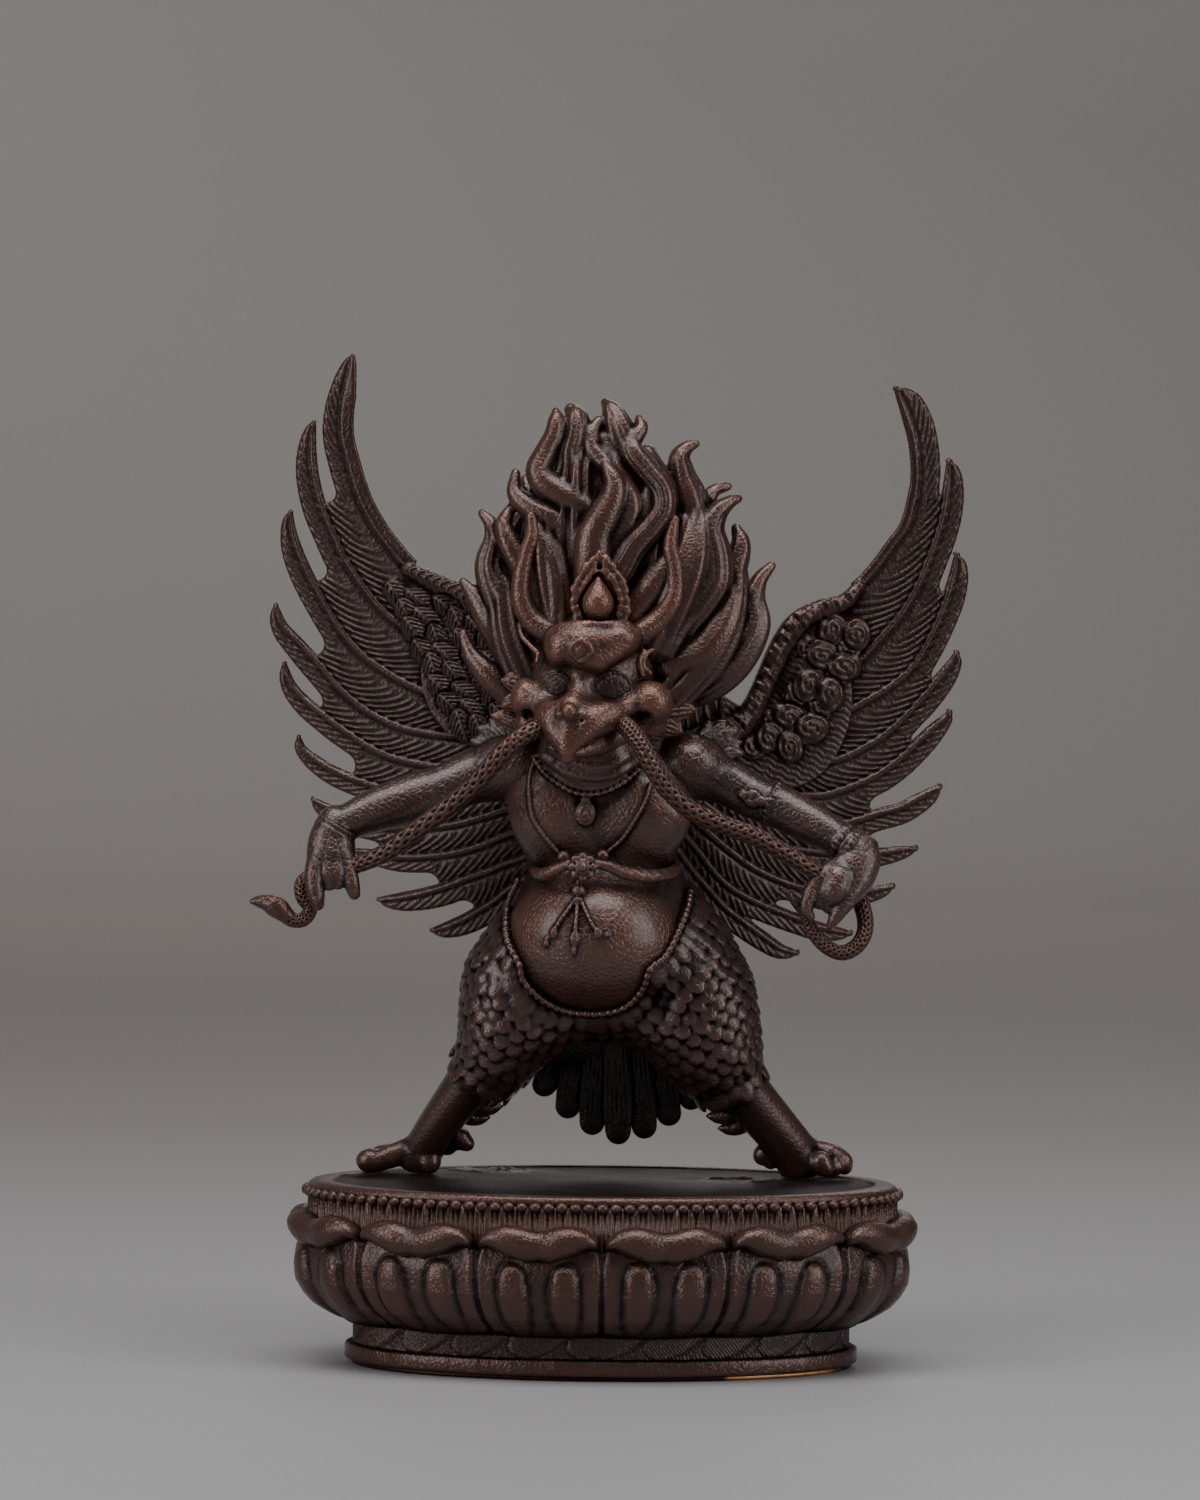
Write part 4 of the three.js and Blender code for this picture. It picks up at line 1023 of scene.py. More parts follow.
def makeHead(finish, eyeFinish):
    wax = Wax((-15.5, -16.2, 50), (14, 7, 85.5), 0.13, wide=2.1)
    wax.addBalls((
        ((-2, -1, 64), (8.2, 7.5, 8.5), 48, 0.3),
        ((-3.2, -5.2, 60.4), (6.2, 4.4, 4.8), 48, 2.0),
        ((-1.6, -3.2, 56.8), (6.0, 4.8, 4.2), 48, 1.5),
    ))
    # upper beak, broad at the corners and drawn to a point
    wax.add(ball((-3.9, -8.6, 58.4), (4.6, 4.0, 2.7), (0, 10, 8), sides=48), 1.2)
    sides = (
        [
            (-8.0, -6.8, 59.0, 1.5), (-7.2, -9.4, 58.1, 1.7), (-6.1, -11.3, 56.2, 1.3),
            (-5.4, -12.2, 54.6, 0.75), (-4.95, -12.3, 53.5, 0.4),
        ],
        [
            (2.2, -7.4, 59.2, 1.5), (0.4, -9.2, 58.9, 1.9), (-1.8, -10.9, 57.8, 1.9),
            (-3.6, -12.0, 55.9, 1.3), (-4.5, -12.4, 54.4, 0.75), (-4.9, -12.3, 53.5, 0.4),
        ],
        [
            (-4.5, -11.0, 59.2, 1.2), (-4.8, -11.8, 57.8, 0.9), (-5.0, -12.4, 56.2, 0.75),
            (-5.0, -12.4, 54.6, 0.65), (-4.95, -12.4, 53.4, 0.35),
        ],
    )
    for rows in sides:
        wax.add(tube(rows, sides=32), 1.0)
    # cheeks with the hollows under them
    wax.addBalls((
        ((2.6, -6.6, 60.0), (2.2, 2.6, 1.8), 40, 1.2),
        ((-8.6, -6.4, 60.1), (1.6, 2.2, 1.6), 40, 1.0),
        ((-10.1, -5.4, 60.6), (2.0, 2.4, 2.5), 40, 0.8),
        ((5.2, -6.6, 60.1), (2.95, 2.9, 2.85), 48, 0.7),
        ((5.2, -5.8, 57.2), (2.2, 2.1, 1.6), 32, 0.9),
        ((-10.0, -4.8, 57.4), (1.5, 2.0, 1.6), 32, 0.8),
    ))
    wax.cut(ball((3.9, -9.2, 58.2), (1.5, 1.4, 0.8), (0, -16, 0), sides=32), 0.5)
    wax.cut(ball((-10.0, -7.6, 58.5), (0.9, 1.3, 0.75)), 0.3)
    # lower beak, closed up to the upper one but for a dark line
    jaw = [
        (-4.3, -10.9, 53.9, 0.5), (-2.7, -9.3, 54.4, 1.15), (-0.4, -7.6, 55.3, 1.6),
        (2.0, -5.4, 56.6, 1.9),
    ]
    wax.add(tube(jaw, sides=32), 0.5)
    line = [
        (-4.1, -12.3, 54.1, 0.16), (-2.9, -11.6, 55.1, 0.26), (-1.2, -10.6, 56.0, 0.3),
        (0.6, -9.4, 56.7, 0.28), (2.3, -7.9, 57.4, 0.22),
    ]
    wax.cut(tube(line, sides=12), 0.18)
    wax.reach = 9  # narrower than at first, but wide enough for the brow
    # sockets under the brow, with wide ringed discs for eyes
    wax.cut(ball((-6.3, -9.6, 62.6), (2.2, 1.9, 2.0), sides=32), 0.7)
    wax.cut(ball((0.7, -9.8, 62.6), (2.8, 1.9, 2.2), sides=32), 0.7)
    # the eyes are a piece of their own so that their finish can be darker: painted shade for the shadow
    # under the brow
    eyes = Wax((-9.5, -11, 59), (5, -4, 66), 0.13)
    eyes.add(ball((-6.4, -7.8, 62.2), (1.9, 0.9, 1.8), (0, 0, -20), sides=36), 0.3)
    eyes.add(ball((0.7, -8.0, 62.0), (2.6, 0.95, 2.1), (0, 0, 16), sides=36), 0.3)
    for size, girth in ((0.95, 0.26), (0.6, 0.12)):
        turns = np.linspace(0, 2 * math.pi, 17)
        for x, z, wide, tall in ((-6.4, 62.2, 1.75, 1.6), (0.6, 62.1, 2.4, 1.95)):
            ring = [(x + wide * size * math.cos(t), z + tall * size * math.sin(t)) for t in turns]
            rim(eyes, ring, girth, lift=-0.03, blend=0.1)
    makePiece("eyes", eyes.surface(), 20000, eyeFinish)
    # brow: one heavy shield with lobes at the lower left and the middle, running up to the right
    for centre, radii in (
        ((-2.2, -6.0, 67.7), (5.7, 4.4, 2.75)),
        ((-5.5, -7.0, 67.4), (2.4, 2.9, 2.4)),
        ((-6.1, -7.5, 66.1), (1.35, 2.1, 1.5)),
        ((-2.5, -8.2, 65.7), (2.5, 2.4, 1.9)),
        ((1.7, -6.6, 68.3), (2.2, 3.0, 1.9)),
        ((-3.3, -8.2, 67.3), (2.6, 2.3, 2.4)),
    ):
        wax.add(ball(centre, radii, sides=44), 1.0)
    wax.add(
        tube(
            [
                (-1.2, -9.2, 65.5, 1.35), (0.7, -8.7, 66.6, 1.3), (2.3, -7.6, 67.8, 1.15),
                (3.2, -6.6, 68.6, 0.8),
            ],
            sides=32,
        ),
        0.9,
    )
    wax.add(
        tube(
            [
                (-5.6, -8.0, 69.5, 0.4), (-3.2, -8.9, 69.9, 0.45), (-0.6, -8.7, 70.0, 0.45),
                (2.2, -7.4, 69.8, 0.4),
            ]
        ),
        0.9,
    )
    diamond = [
        (-3.4, 68.0), (-2.5, 67.4), (-2.15, 66.7), (-2.5, 66.0), (-3.4, 65.3), (-4.3, 66.0),
        (-4.65, 66.7), (-4.3, 67.4), (-3.4, 68.0),
    ]
    rim(wax, diamond, 0.17, lift=-0.02, blend=0.3)
    wax.add(ball((-3.4, wax.depthAt(-3.4, 66.7) + 0.25, 66.7), (0.7, 0.4, 0.75)), 0.3)
    # bridge of the nose and the nostrils
    bridge = [
        (-3.1, -7.5, 64.2, 0.7), (-3.3, -8.2, 62.8, 0.8), (-3.7, -9.3, 61.4, 0.95),
        (-4.5, -10.8, 60.2, 0.8),
    ]
    wax.add(tube(bridge, sides=32), 1.5)
    wax.addBalls((
        ((-4.75, -12.5, 59.2), (1.0, 1.0, 1.05), 28, 0.3),
        ((-3.1, -12.0, 58.7), (0.95, 0.85, 0.8), 28, 0.3),
        ((-5.9, -12.0, 58.8), (0.6, 0.7, 0.55), 24, 0.3),
    ))
    wax.cut(ball((-3.2, -13.0, 58.1), (0.35, 0.6, 0.2), (0, -20, 0), sides=12), 0.15)
    wax.refine()
    # horns
    left = [
        (-5.4, -4.6, 68.0, 1.7), (-7.3, -4.8, 68.6, 1.6), (-9.5, -4.5, 70.2, 1.42),
        (-10.8, -4.2, 72.5, 1.3), (-10.9, -3.9, 75.5, 1.16), (-10.3, -3.6, 78.5, 1.0),
        (-9.6, -3.4, 80.9, 0.9), (-9.8, -3.2, 83.2, 0.6),
    ]
    right = [
        (2.2, -4.8, 67.8, 1.7), (4.0, -5.0, 68.7, 1.6), (6.6, -4.7, 70.8, 1.42), (8.1, -4.4, 73.4, 1.3),
        (8.2, -4.0, 76.5, 1.14), (7.6, -3.7, 79.5, 1.0), (7.8, -3.4, 81.7, 0.84),
        (8.1, -3.2, 82.9, 0.6),
    ]
    for rows in (left, right):
        wax.add(tube(rows, fine=8), 0.5)
    # tufts at the temples and the ridged ears behind the cheeks
    tendrils = (
        [
            (-11.1, -3.6, 69.8), (-10.7, -4.6, 68.2), (-9.6, -5.6, 67.0), (-8.7, -6.2, 66.1),
            (-8.8, -6.4, 65.2),
        ],
        [
            (8.8, -3.4, 70.2), (8.3, -4.0, 68.3), (6.6, -4.8, 67.1), (4.9, -5.6, 66.4),
            (4.4, -6.0, 64.9), (5.2, -6.0, 63.8),
        ],
        [(4.4, -5.8, 66.6), (3.9, -6.4, 65.2), (4.3, -6.4, 63.6)],
    )
    for line in tendrils:
        wax.add(tube([(*point, 0.34) for point in line], sides=10), 0.25)
    ears = (
        ((-9.0, -3.8, 63.2), (-11.4, -3.0, 65.2), 1.0), ((-9.8, -4.2, 61.8), (-13.3, -3.2, 62.7), 1.15),
        ((-10.2, -4.2, 60.0), (-13.3, -3.4, 59.4), 1.0), ((6.6, -4.2, 61.0), (11.2, -3.2, 62.8), 1.3),
        ((7.0, -4.4, 59.0), (11.0, -3.4, 59.3), 1.25), ((6.4, -4.4, 57.4), (9.4, -3.6, 56.4), 1.1),
        ((-10.2, -3.8, 56.6), (-14.6, -2.6, 58.4), 0.9),
    )
    for root, tip, width in ears:
        wax.add(leaf(root, tip, 0.25, width * 1.12, 0.55, 0.2, sides=44, fine=8), 0.1)
    makeCrown(wax)
    makePiece("head", wax.surface(), 105000, finish)


def makeCrown(wax):
    # leaf-shaped frame of scrolls round a drop-shaped jewel
    frame = [
        (-3.9, 70.6), (-4.3, 72.4), (-4.1, 74.2), (-3.4, 75.8), (-2.5, 77.0), (-1.3, 78.2), (0.1, 77.2),
        (1.2, 75.8), (1.9, 74.2), (2.2, 72.4), (1.9, 70.6),
    ]
    plate = [
        (-1.1, -5.7, 69.6, 3.2, 1.1), (-1.1, -6.0, 73, 3.3, 1.1), (-1.2, -6.0, 76.0, 2.3, 1.0),
        (-1.2, -5.8, 77.8, 1.0, 0.8),
    ]
    wax.add(tube(plate, sides=40), 0.3)
    rng = np.random.default_rng(21)
    for shrink, count, size, depth in ((1.0, 17, 0.56, -6.75), (0.76, 15, 0.46, -7.0)):
        line = [(x * shrink - 0.95 * (1 - shrink), 72.4 + (z - 72.4) * shrink) for x, z in frame]
        for i, (x, z) in enumerate(smoothLine(line, count)):
            girth = size * (1 + 0.2 * (i % 3 == 0)) + rng.uniform(-0.05, 0.05)
            turn = float(rng.uniform(-35, 35))
            wax.add(ball((x, depth, z), (girth, girth * 0.9, girth * 1.3), (0, turn, 0), sides=14), 0.25)
    for x, z, turn in ((-2.0, 77.0, 25), (-0.5, 77.0, -25), (-1.25, 78.3, 0)):
        wax.add(ball((x, -6.7, z), (0.42, 0.6, 0.85), (0, turn, 0), sides=14), 0.12)
    wax.cut(ball((-1.2, -7.3, 77.0), (0.34, 1.0, 0.44), sides=12), 0.08)
    jewel = [
        (-1.35, -7.0, 70.8, 1.35), (-1.35, -7.4, 72.0, 1.95), (-1.35, -7.4, 73.2, 1.85),
        (-1.35, -7.2, 74.5, 1.1), (-1.35, -7.0, 75.5, 0.35),
    ]
    groove = [(x, y - 0.2, z, girth + 0.45) for x, y, z, girth in jewel]
    wax.cut(tube(groove, sides=32), 0.2)
    wax.add(tube(jewel, sides=36), 0.1)


# Torso with its jewellery

# the hem between the bare belly and the feathers, as x, z pairs
hem = [
    (-11.0, 37.6), (-12.0, 35.4), (-12.4, 33.3), (-12.3, 31), (-11.7, 29.4), (-10.6, 27.5),
    (-10.2, 25.7), (-8.9, 24.1), (-7.3, 22.8), (-5.1, 21.8), (-2.5, 21.4), (0, 21.5), (2.1, 22.1),
    (3.7, 23.3), (4.9, 25.1), (5.6, 27.3), (7.2, 28.5), (8.3, 30.1), (9.3, 32.2), (10.3, 34.7),
    (10.6, 36.4),
]
belly = ((-1.2, -1.5, 30.4), (11.3, 10.3, 9.6))


def makeTorso(finish):
    wax = Wax((-15, -14.5, 15), (14, 10.5, 61), 0.14, wide=2.6)
    trunk = [
        (-0.6, 3.0, 22.6, 6.5, 5.5), (-0.6, 2.6, 26, 9.6, 8.4), (-0.9, 1.8, 31, 10.9, 8.6),
        (-0.5, 1.4, 38.5, 9.3, 7.6), (-0.9, 1.2, 44, 10.2, 7.2), (-0.9, 1.2, 49, 12.4, 6.8),
        (-1.2, 1.4, 53.4, 11, 6.2), (-1.6, 0, 57.4, 6.4, 5.8), (-1.6, -1.0, 60, 5.8, 5.6),
    ]
    wax.add(tube(trunk, sides=48))
    wax.addBalls((
        (*belly, 72, 1.5),
        ((-6.4, -3.0, 46.2), (5.7, 4.6, 6.0), 48, 2.5),  # breasts
        ((4.8, -3.0, 46.2), (5.7, 4.6, 6.0), 48, 2.5),
    ))
    # fold under the breasts
    fold = [
        (-12.5, -3.4, 40.6, 0.7), (-8.8, -7.4, 39.6, 0.8), (-4.6, -8.6, 41.1, 0.6),
        (-2.6, -8.9, 41.5, 0.5), (-0.4, -8.8, 41.2, 0.6), (4.0, -8.0, 40.2, 0.8),
        (8.8, -6.2, 40.2, 0.8), (11.6, -2.4, 40.8, 0.7),
    ]
    wax.cut(tube(fold, sides=14), 1.2)
    # neck, folded into rings above the collar
    wax.add(
        tube(
            [
                (-1.5, -1.8, 60, 6.0, 5.6), (-1.9, -2.6, 56.5, 6.0, 5.6), (-2.2, -3.0, 53.4, 6.6, 5.8),
                (-2.4, -2.2, 51, 7.2, 5.6),
            ],
            sides=44,
        ),
        0.8,
    )
    wax.refine()
    for rows, girth in (
        ([(-7.9, 53.4), (-5.8, 51.9), (-3.7, 51.1), (-0.9, 50.9), (1.6, 51.5), (3.8, 53.0)], 0.32),
        ([(-7.2, 54.6), (-4.6, 53.0), (-2.4, 52.3), (0.2, 52.4), (2.6, 53.5)], 0.3),
    ):
        rim(wax, rows, girth, lift=-0.1, blend=0.5)
    groove = [(-8.4, 53.0), (-6.2, 51.2), (-3.9, 50.3), (-0.9, 50.1), (1.8, 50.7), (4.1, 52.4)]
    groove = [(px, py - 0.1, pz - 0.45, 0.22) for px, py, pz in wax.laid(groove)]
    wax.cut(tube(groove, sides=10, fine=2), 0.2)
    # collar of small lozenges with its pendant
    collar = [
        (-9.2, 53.2), (-7.9, 51.4), (-6, 50), (-4.1, 49), (-2.1, 48.7), (0.2, 49.2), (2.2, 50.3),
        (3.9, 51.8),
    ]
    rim(wax, collar, 0.26, blend=0.2)
    rim(wax, [(px + 0.1, pz + 0.75) for px, pz in collar[1:-1]], 0.22, blend=0.2)
    beadLine(wax, collar, 0.34, 0.9, lift=0.12, stretch=1.15)
    x, z = -2.6, 46.4
    y = wax.depthAt(x, z, (0, 0.1))
    wax.add(ball((x, y - 0.1, z), (1.3, 0.7, 1.65), sides=26), 0.12)
    for size in (1.0, 0.6):
        ring = [
            (
                x + 1.08 * size * math.cos(t), z + 1.42 * size * math.sin(t),
            ) for t in np.linspace(0, 2 * math.pi, 13)
        ]
        rim(wax, ring, 0.16, lift=0.05, blend=0.08)
    wax.add(ball((x, y - 0.75, z), (0.34, 0.3, 0.4), sides=12), 0.1)
    wax.add(ball((-2.65, wax.depthAt(-2.6, 48.1, (0, 0.1)), 48.15), (0.75, 0.6, 0.5), sides=14), 0.15)
    chains = (
        [(-8.9, 53.4), (-9.6, 51), (-9.7, 48.3), (-9.3, 46), (-8, 43.8), (-6.3, 41.8), (-5.3, 41)],
        [(5.4, 50.0), (4.6, 47.6), (3.3, 45.3), (2, 43.3), (0.5, 41.9), (-0.4, 41.2)],
    )
    for rows in chains:
        rim(wax, rows, 0.2, blend=0.15)
        beadLine(wax, rows, 0.29, 0.62, lift=0.06, stretch=1.2)
    # soft sash under the breasts, wound round the waist
    sash = (
        [
            (-4.6, -9.3, 40.2, 0.6), (-6.3, -8.7, 39.4, 0.75), (-7.7, -7.4, 38.8, 0.82),
            (-8.6, -5.4, 38.8, 0.75), (-8.9, -2.0, 39.2, 0.65), (-8.4, 2.0, 39.6, 0.6),
        ],
        [
            (-1.2, -9.3, 40.3, 0.6), (0.4, -9.3, 39.9, 0.72), (2.4, -8.8, 39.1, 0.85),
            (5.0, -7.8, 38.7, 0.88), (7.3, -5.8, 38.8, 0.82), (8.6, -2.6, 39.2, 0.8),
            (8.2, 2.0, 39.6, 0.6),
        ],
    )
    for rows in sash:
        twist = tube(
            rows, sides=28, fine=6, relief=lambda share, turn: 0.05 * np.cos(turn * 2 - share * 80),
        )
        wax.add(twist, 0.35)
    # rosette where the chains meet, and the drop below it
    x, z = -2.9, 39.9
    y = min(wax.depthAt(x, z, (0, 0.1)), -9.6)
    wax.add(ball((x, y + 0.3, z), (1.75, 0.9, 1.8), sides=24), 0.2)
    for t in np.arange(8) / 8 * 2 * math.pi:
        wax.add(
            ball(
                (x + 1.35 * math.cos(t), y - 0.35, z + 1.35 * math.sin(t)), (0.55, 0.45, 0.5), sides=12,
            ),
            0.08,
        )
    for t in np.arange(10) / 10 * 2 * math.pi:
        wax.add(
            ball(
                (x + 0.8 * math.cos(t), y - 0.75, z + 0.8 * math.sin(t)), (0.28, 0.25, 0.28), sides=10,
            ),
            0.06,
        )
    wax.add(ball((x, y - 0.85, z), (0.62, 0.55, 0.62), sides=18), 0.08)
    for px, pz in ((-5.3, 41.0), (-0.4, 41.2)):
        wax.add(ball((px, wax.depthAt(px, pz) - 0.35, pz), (0.78, 0.72, 0.78), sides=16), 0.12)
    for px, pz, size in ((-3.3, 37.9, 0.5), (-3.4, 36.9, 0.86), (-3.45, 35.8, 0.55)):
        wax.add(
            ball((px, wax.depthAt(px, pz) - 0.25 * size, pz), (size, size * 0.85, size), sides=16),
            0.12,
        )
    tassels = (
        [(-3.8, 35.9), (-4.7, 34.6), (-5.7, 33.2), (-6.3, 32.2)],
        [(-3.5, 35.9), (-3.6, 34.1), (-3.7, 32.8), (-3.75, 31.8)],
        [(-3.1, 35.9), (-2.4, 34.4), (-1.7, 33), (-1.1, 32.2)],
    )
    for rows in tassels:
        rim(wax, rows, 0.22, blend=0.1)
        beadLine(wax, rows, 0.31, 0.62, lift=0.05, stretch=1.1)
    drops = (
        (-6.4, 31.7, 0.5, 0.8), (-3.8, 31.1, 0.62, 1.0), (-0.9, 31.8, 0.6, 0.75),
        (-7.3, 30.9, 0.28, 0.4), (-7.35, 30.3, 0.4, 0.42), (-3.9, 29.6, 0.3, 0.7),
        (0.25, 31.6, 0.34, 0.3),
    )
    for px, pz, size, tall in drops:
        wax.add(ball((px, wax.depthAt(px, pz) - 0.1, pz), (size, 0.42, tall), sides=14), 0.12)
    makePiece("torso", wax.surface(), 95000, finish)


# Arms, hands and the snake


def pitted(length, smoothFrom):
    # a snake's hide: small round pits in staggered rows, none on its head
    def relief(share, turn):
        walked = share * length
        out = np.zeros(np.broadcast(walked, turn).shape)
        for row, angle in enumerate((-2.5, -1.95, -1.4, -0.85)):
            apart = np.angle(np.exp(1j * (turn - angle))) * 1.15
            step = (walked + 0.42 * (row % 2) + 0.06 * np.sin(walked * 2.3)) % 0.84 - 0.42
            out = out - 0.36 * np.exp(-((apart / 0.17) ** 2) - (step / 0.17) ** 2)
        return out * (share < smoothFrom)

    return relief


def makeArms(finish):
    wax = Wax((-44.4, -12.5, 27), (34.5, 7, 61), 0.15, wide=1.6)
    left = [
        (-8.6, 1.4, 51.4, 4.4), (-12.5, 1.0, 51.6, 4.1), (-16.5, 0.4, 50.5, 3.4),
        (-20.5, -0.6, 48.9, 3.1), (-23.8, -1.4, 47.9, 3.15), (-28.2, -2.7, 46.5, 2.85),
        (-31.8, -3.8, 45.0, 2.35), (-34.4, -4.5, 43.7, 2.15),
    ]
    right = [
        (7.4, 1.4, 51.4, 4.6), (11.2, 0.8, 51.6, 4.1), (14.6, 0.2, 50.4, 3.1), (18.2, -0.8, 48.4, 2.75),
        (21.6, -1.8, 47.2, 2.75), (25.0, -3.0, 45.5, 2.65), (28.2, -4.3, 43.8, 2.3),
        (30.7, -5.2, 42.2, 2.1),
    ]
    wax.add(tube(left, sides=32))
    wax.add(tube(right, sides=32))
    wax.addBalls((
        ((-11.6, -0.6, 52.2), (3.8, 3.6, 3.4), 56, 1.8),
        ((10.4, -1.0, 52.6), (3.9, 3.8, 3.4), 56, 1.8),
    ))
    wax.refine()
    # left hand over the snake
    for rows in (
        [
            (-33.6, -4.4, 45.0, 2.3, 2.0), (-34.1, -5.2, 42.8, 2.9, 2.2),
            (-34.2, -6.0, 40.6, 3.05, 2.1), (-34.2, -6.4, 38.9, 2.7, 1.7),
        ],
        [
            (-35.6, -6.2, 41.0, 1.35), (-36.1, -7.2, 39.2, 1.3), (-36.2, -7.8, 37.4, 1.15),
            (-35.9, -8.0, 35.8, 1.1), (-35.7, -8.0, 34.8, 0.85),
        ],
        [(-34.5, -6.9, 40.4, 1.0), (-34.5, -7.7, 38.8, 0.95), (-34.3, -7.6, 37.2, 0.8)],
        [(-33.4, -6.8, 40.4, 1.0), (-33.3, -7.7, 38.8, 0.9), (-33.2, -7.5, 37.3, 0.75)],
        [
            (-32.4, -6.2, 40.8, 1.15), (-31.9, -7.2, 39.0, 1.05), (-31.5, -7.4, 37.3, 1.0),
            (-31.2, -7.3, 36.1, 0.8),
        ],
    ):
        wax.add(tube(rows, sides=28), 0.3)
    wax.add(ball((-35.8, -8.8, 35.3), (0.6, 0.35, 0.8), (12, 0, 0), sides=16), 0.08)
    wax.add(ball((-31.3, -8.0, 36.4), (0.42, 0.3, 0.55), (12, 0, 0), sides=14), 0.08)
    # two rings round the left wrist
    across, outward = np.array([0.86, -0.1, -0.5]) * 2.55, np.array([0, -1, 0.1]) * 2.25
    for along in (-0.35, 0.35):
        centre = np.array([-33.7, -4.8, 44.0]) + np.array([0.5, 0.1, 0.85]) * along
        ring = [
            centre + across * math.cos(t) + outward * math.sin(t) for t in np.linspace(
                0, 2 * math.pi, 25,
            )
        ]
        wax.add(tube([(*point, 0.27) for point in ring], sides=12, fine=3), 0.12)
    # right hand
    for rows in (
        [
            (31.7, -5.0, 42.4, 2.3, 1.9), (31.4, -5.8, 40.8, 2.8, 2.1), (30.4, -6.6, 39.0, 3.0, 2.0),
            (29.6, -7.1, 37.6, 2.6, 1.7),
        ],
        [
            (29.2, -6.6, 40.2, 1.3), (27.4, -7.4, 39.4, 1.15), (26.0, -8.0, 38.0, 1.05),
            (25.2, -8.4, 36.4, 0.95), (24.9, -8.6, 34.8, 0.85), (25.4, -8.6, 33.9, 0.6),
        ],
        [
            (31.4, -7.0, 38.4, 1.45), (30.3, -7.9, 36.6, 1.3), (29.1, -8.5, 34.9, 1.05),
            (28.3, -8.7, 33.6, 0.8), (27.8, -8.7, 32.8, 0.5),
        ],
        [(28.8, -7.4, 38.6, 2.1), (28.3, -7.9, 37.0, 2.0), (28.1, -7.7, 35.6, 1.4)],
        [(27.6, -7.6, 38.4, 1.2), (26.7, -8.1, 37.0, 1.0), (26.5, -8.0, 35.6, 0.85)],
        [(28.2, -8.0, 37.4, 0.9), (27.7, -8.3, 36.2, 0.8), (27.6, -8.1, 35.0, 0.7)],
    ):
        wax.add(tube(rows, sides=28), 0.4)
    # armlets and bracelets: bands wound round the arms
    bands = (
        (left, 0.52, 0.13), (right, 0.51, 0.16), (right, 0.535, 0.3), (right, 0.56, 0.16),
        (right, 0.895, 0.2), (right, 0.925, 0.32), (right, 0.955, 0.2), (right, 0.99, 0.3),
    )
    for rows, share, girth in bands:
        wax.add(bandOn(rows, share, girth, beaded=girth > 0.28), 0.12)
    # knot of the right armlet
    size = 1.35
    centre, side, face, width = stationOf(right, 0.5)
    along = np.cross(face, side)
    for shift, spread in ((0.0, 0.0), (-0.85, 0.35), (-0.85, -0.35), (-1.6, 0.0)):
        at = centre + face * width + along * shift * size + side * spread * size
        wax.add(pebble(at, along, face, np.array([0.55, 0.42, 0.75]) * size), 0.1)
    makeShoulders(wax)
    makePiece("arms", wax.surface(), 72000, finish)


def makeSnake(finish):
    # held in the beak: its head hangs past the left hand, its tail curls at the right
    headSide = [
        (-7.6, -8.6, 57.4, 0.9), (-8.6, -9.6, 57.0, 1.15), (-10.8, -10.6, 55.8, 1.2),
        (-13.4, -10.8, 53.4, 1.2), (-16.2, -10.2, 50.1, 1.2), (-19.9, -9.6, 46.9, 1.2),
        (-23.9, -9.2, 43.9, 1.18), (-27.2, -8.4, 41.4, 1.15), (-30.4, -7.2, 39.9, 1.1),
        (-33.6, -5.6, 38.9, 1.05), (-36.4, -5.4, 38.2, 1.0), (-37.7, -5.8, 37.2, 0.98),
        (-37.6, -6.2, 35.6, 0.96), (-36.7, -6.4, 34.2, 0.94), (-37.4, -6.8, 32.9, 0.92),
        (-38.7, -7.0, 32.7, 0.92), (-39.7, -7.1, 33.4, 1.1), (-40.5, -7.2, 34.1, 1.35),
        (-41.4, -7.1, 34.6, 1.3), (-42.3, -7.0, 34.9, 0.98), (-43.2, -6.9, 35.0, 0.72),
        (-43.8, -6.9, 35.0, 0.4),
    ]
    tailSide = [
        (1.2, -8.8, 58.0, 0.95), (2.2, -9.8, 57.4, 1.2), (3.2, -10.6, 56.4, 1.22),
        (4.3, -11.2, 54.9, 1.2), (5.6, -11.6, 52.5, 1.2), (7.4, -11.4, 49.8, 1.2),
        (10.6, -10.8, 47.0, 1.2), (14.8, -10.2, 45.2, 1.2), (18.6, -9.8, 43.8, 1.2),
        (22.2, -9.2, 41.8, 1.15), (25.4, -8.2, 39.9, 1.12), (28.8, -5.6, 38.2, 1.1),
        (31.2, -4.8, 36.4, 1.08), (32.2, -5.4, 34.0, 1.05), (32.2, -6.2, 31.9, 1.02),
        (31.2, -6.8, 30.2, 1.0), (29.4, -7.2, 29.4, 0.98), (27.4, -7.4, 30.2, 0.94),
        (25.8, -7.4, 31.9, 0.86), (25.0, -7.4, 33.6, 0.74), (24.2, -7.6, 34.8, 0.6),
        (23.3, -8.0, 35.8, 0.45), (22.6, -8.2, 37.0, 0.3),
    ]
    shapes = []
    for rows, smoothFrom in ((headSide, 0.74), (tailSide, 0.93)):
        line = smoothLine(rows, 400)[:, :3]
        length = float(np.linalg.norm(np.diff(line, axis=0), axis=1).sum())
        fine = int(length / 0.12 / (len(rows) - 1))
        shapes.append(tube(rows, sides=64, fine=fine, relief=pitted(length, smoothFrom)))
    # eyes on the crown of its head
    for x, y, z in ((-40.8, -8.1, 35.1), (-41.9, -7.8, 35.4)):
        shapes.append(ball((x, y, z), (0.42, 0.36, 0.36), sides=14))
    makePiece("snake", together(shapes), 75000, finish)


def stationOf(rows, share):
    # centre, sideways and outward directions and half-width of a limb at a share of its length
    line = smoothLine(rows, 101)
    i = int(round(share * 100))
    along = normalise(line[min(i + 1, 100), :3] - line[max(i - 1, 0), :3])
    side = normalise(np.cross(along, towardsViewer))
    return line[i, :3], side, np.cross(side, along), line[i, 3]


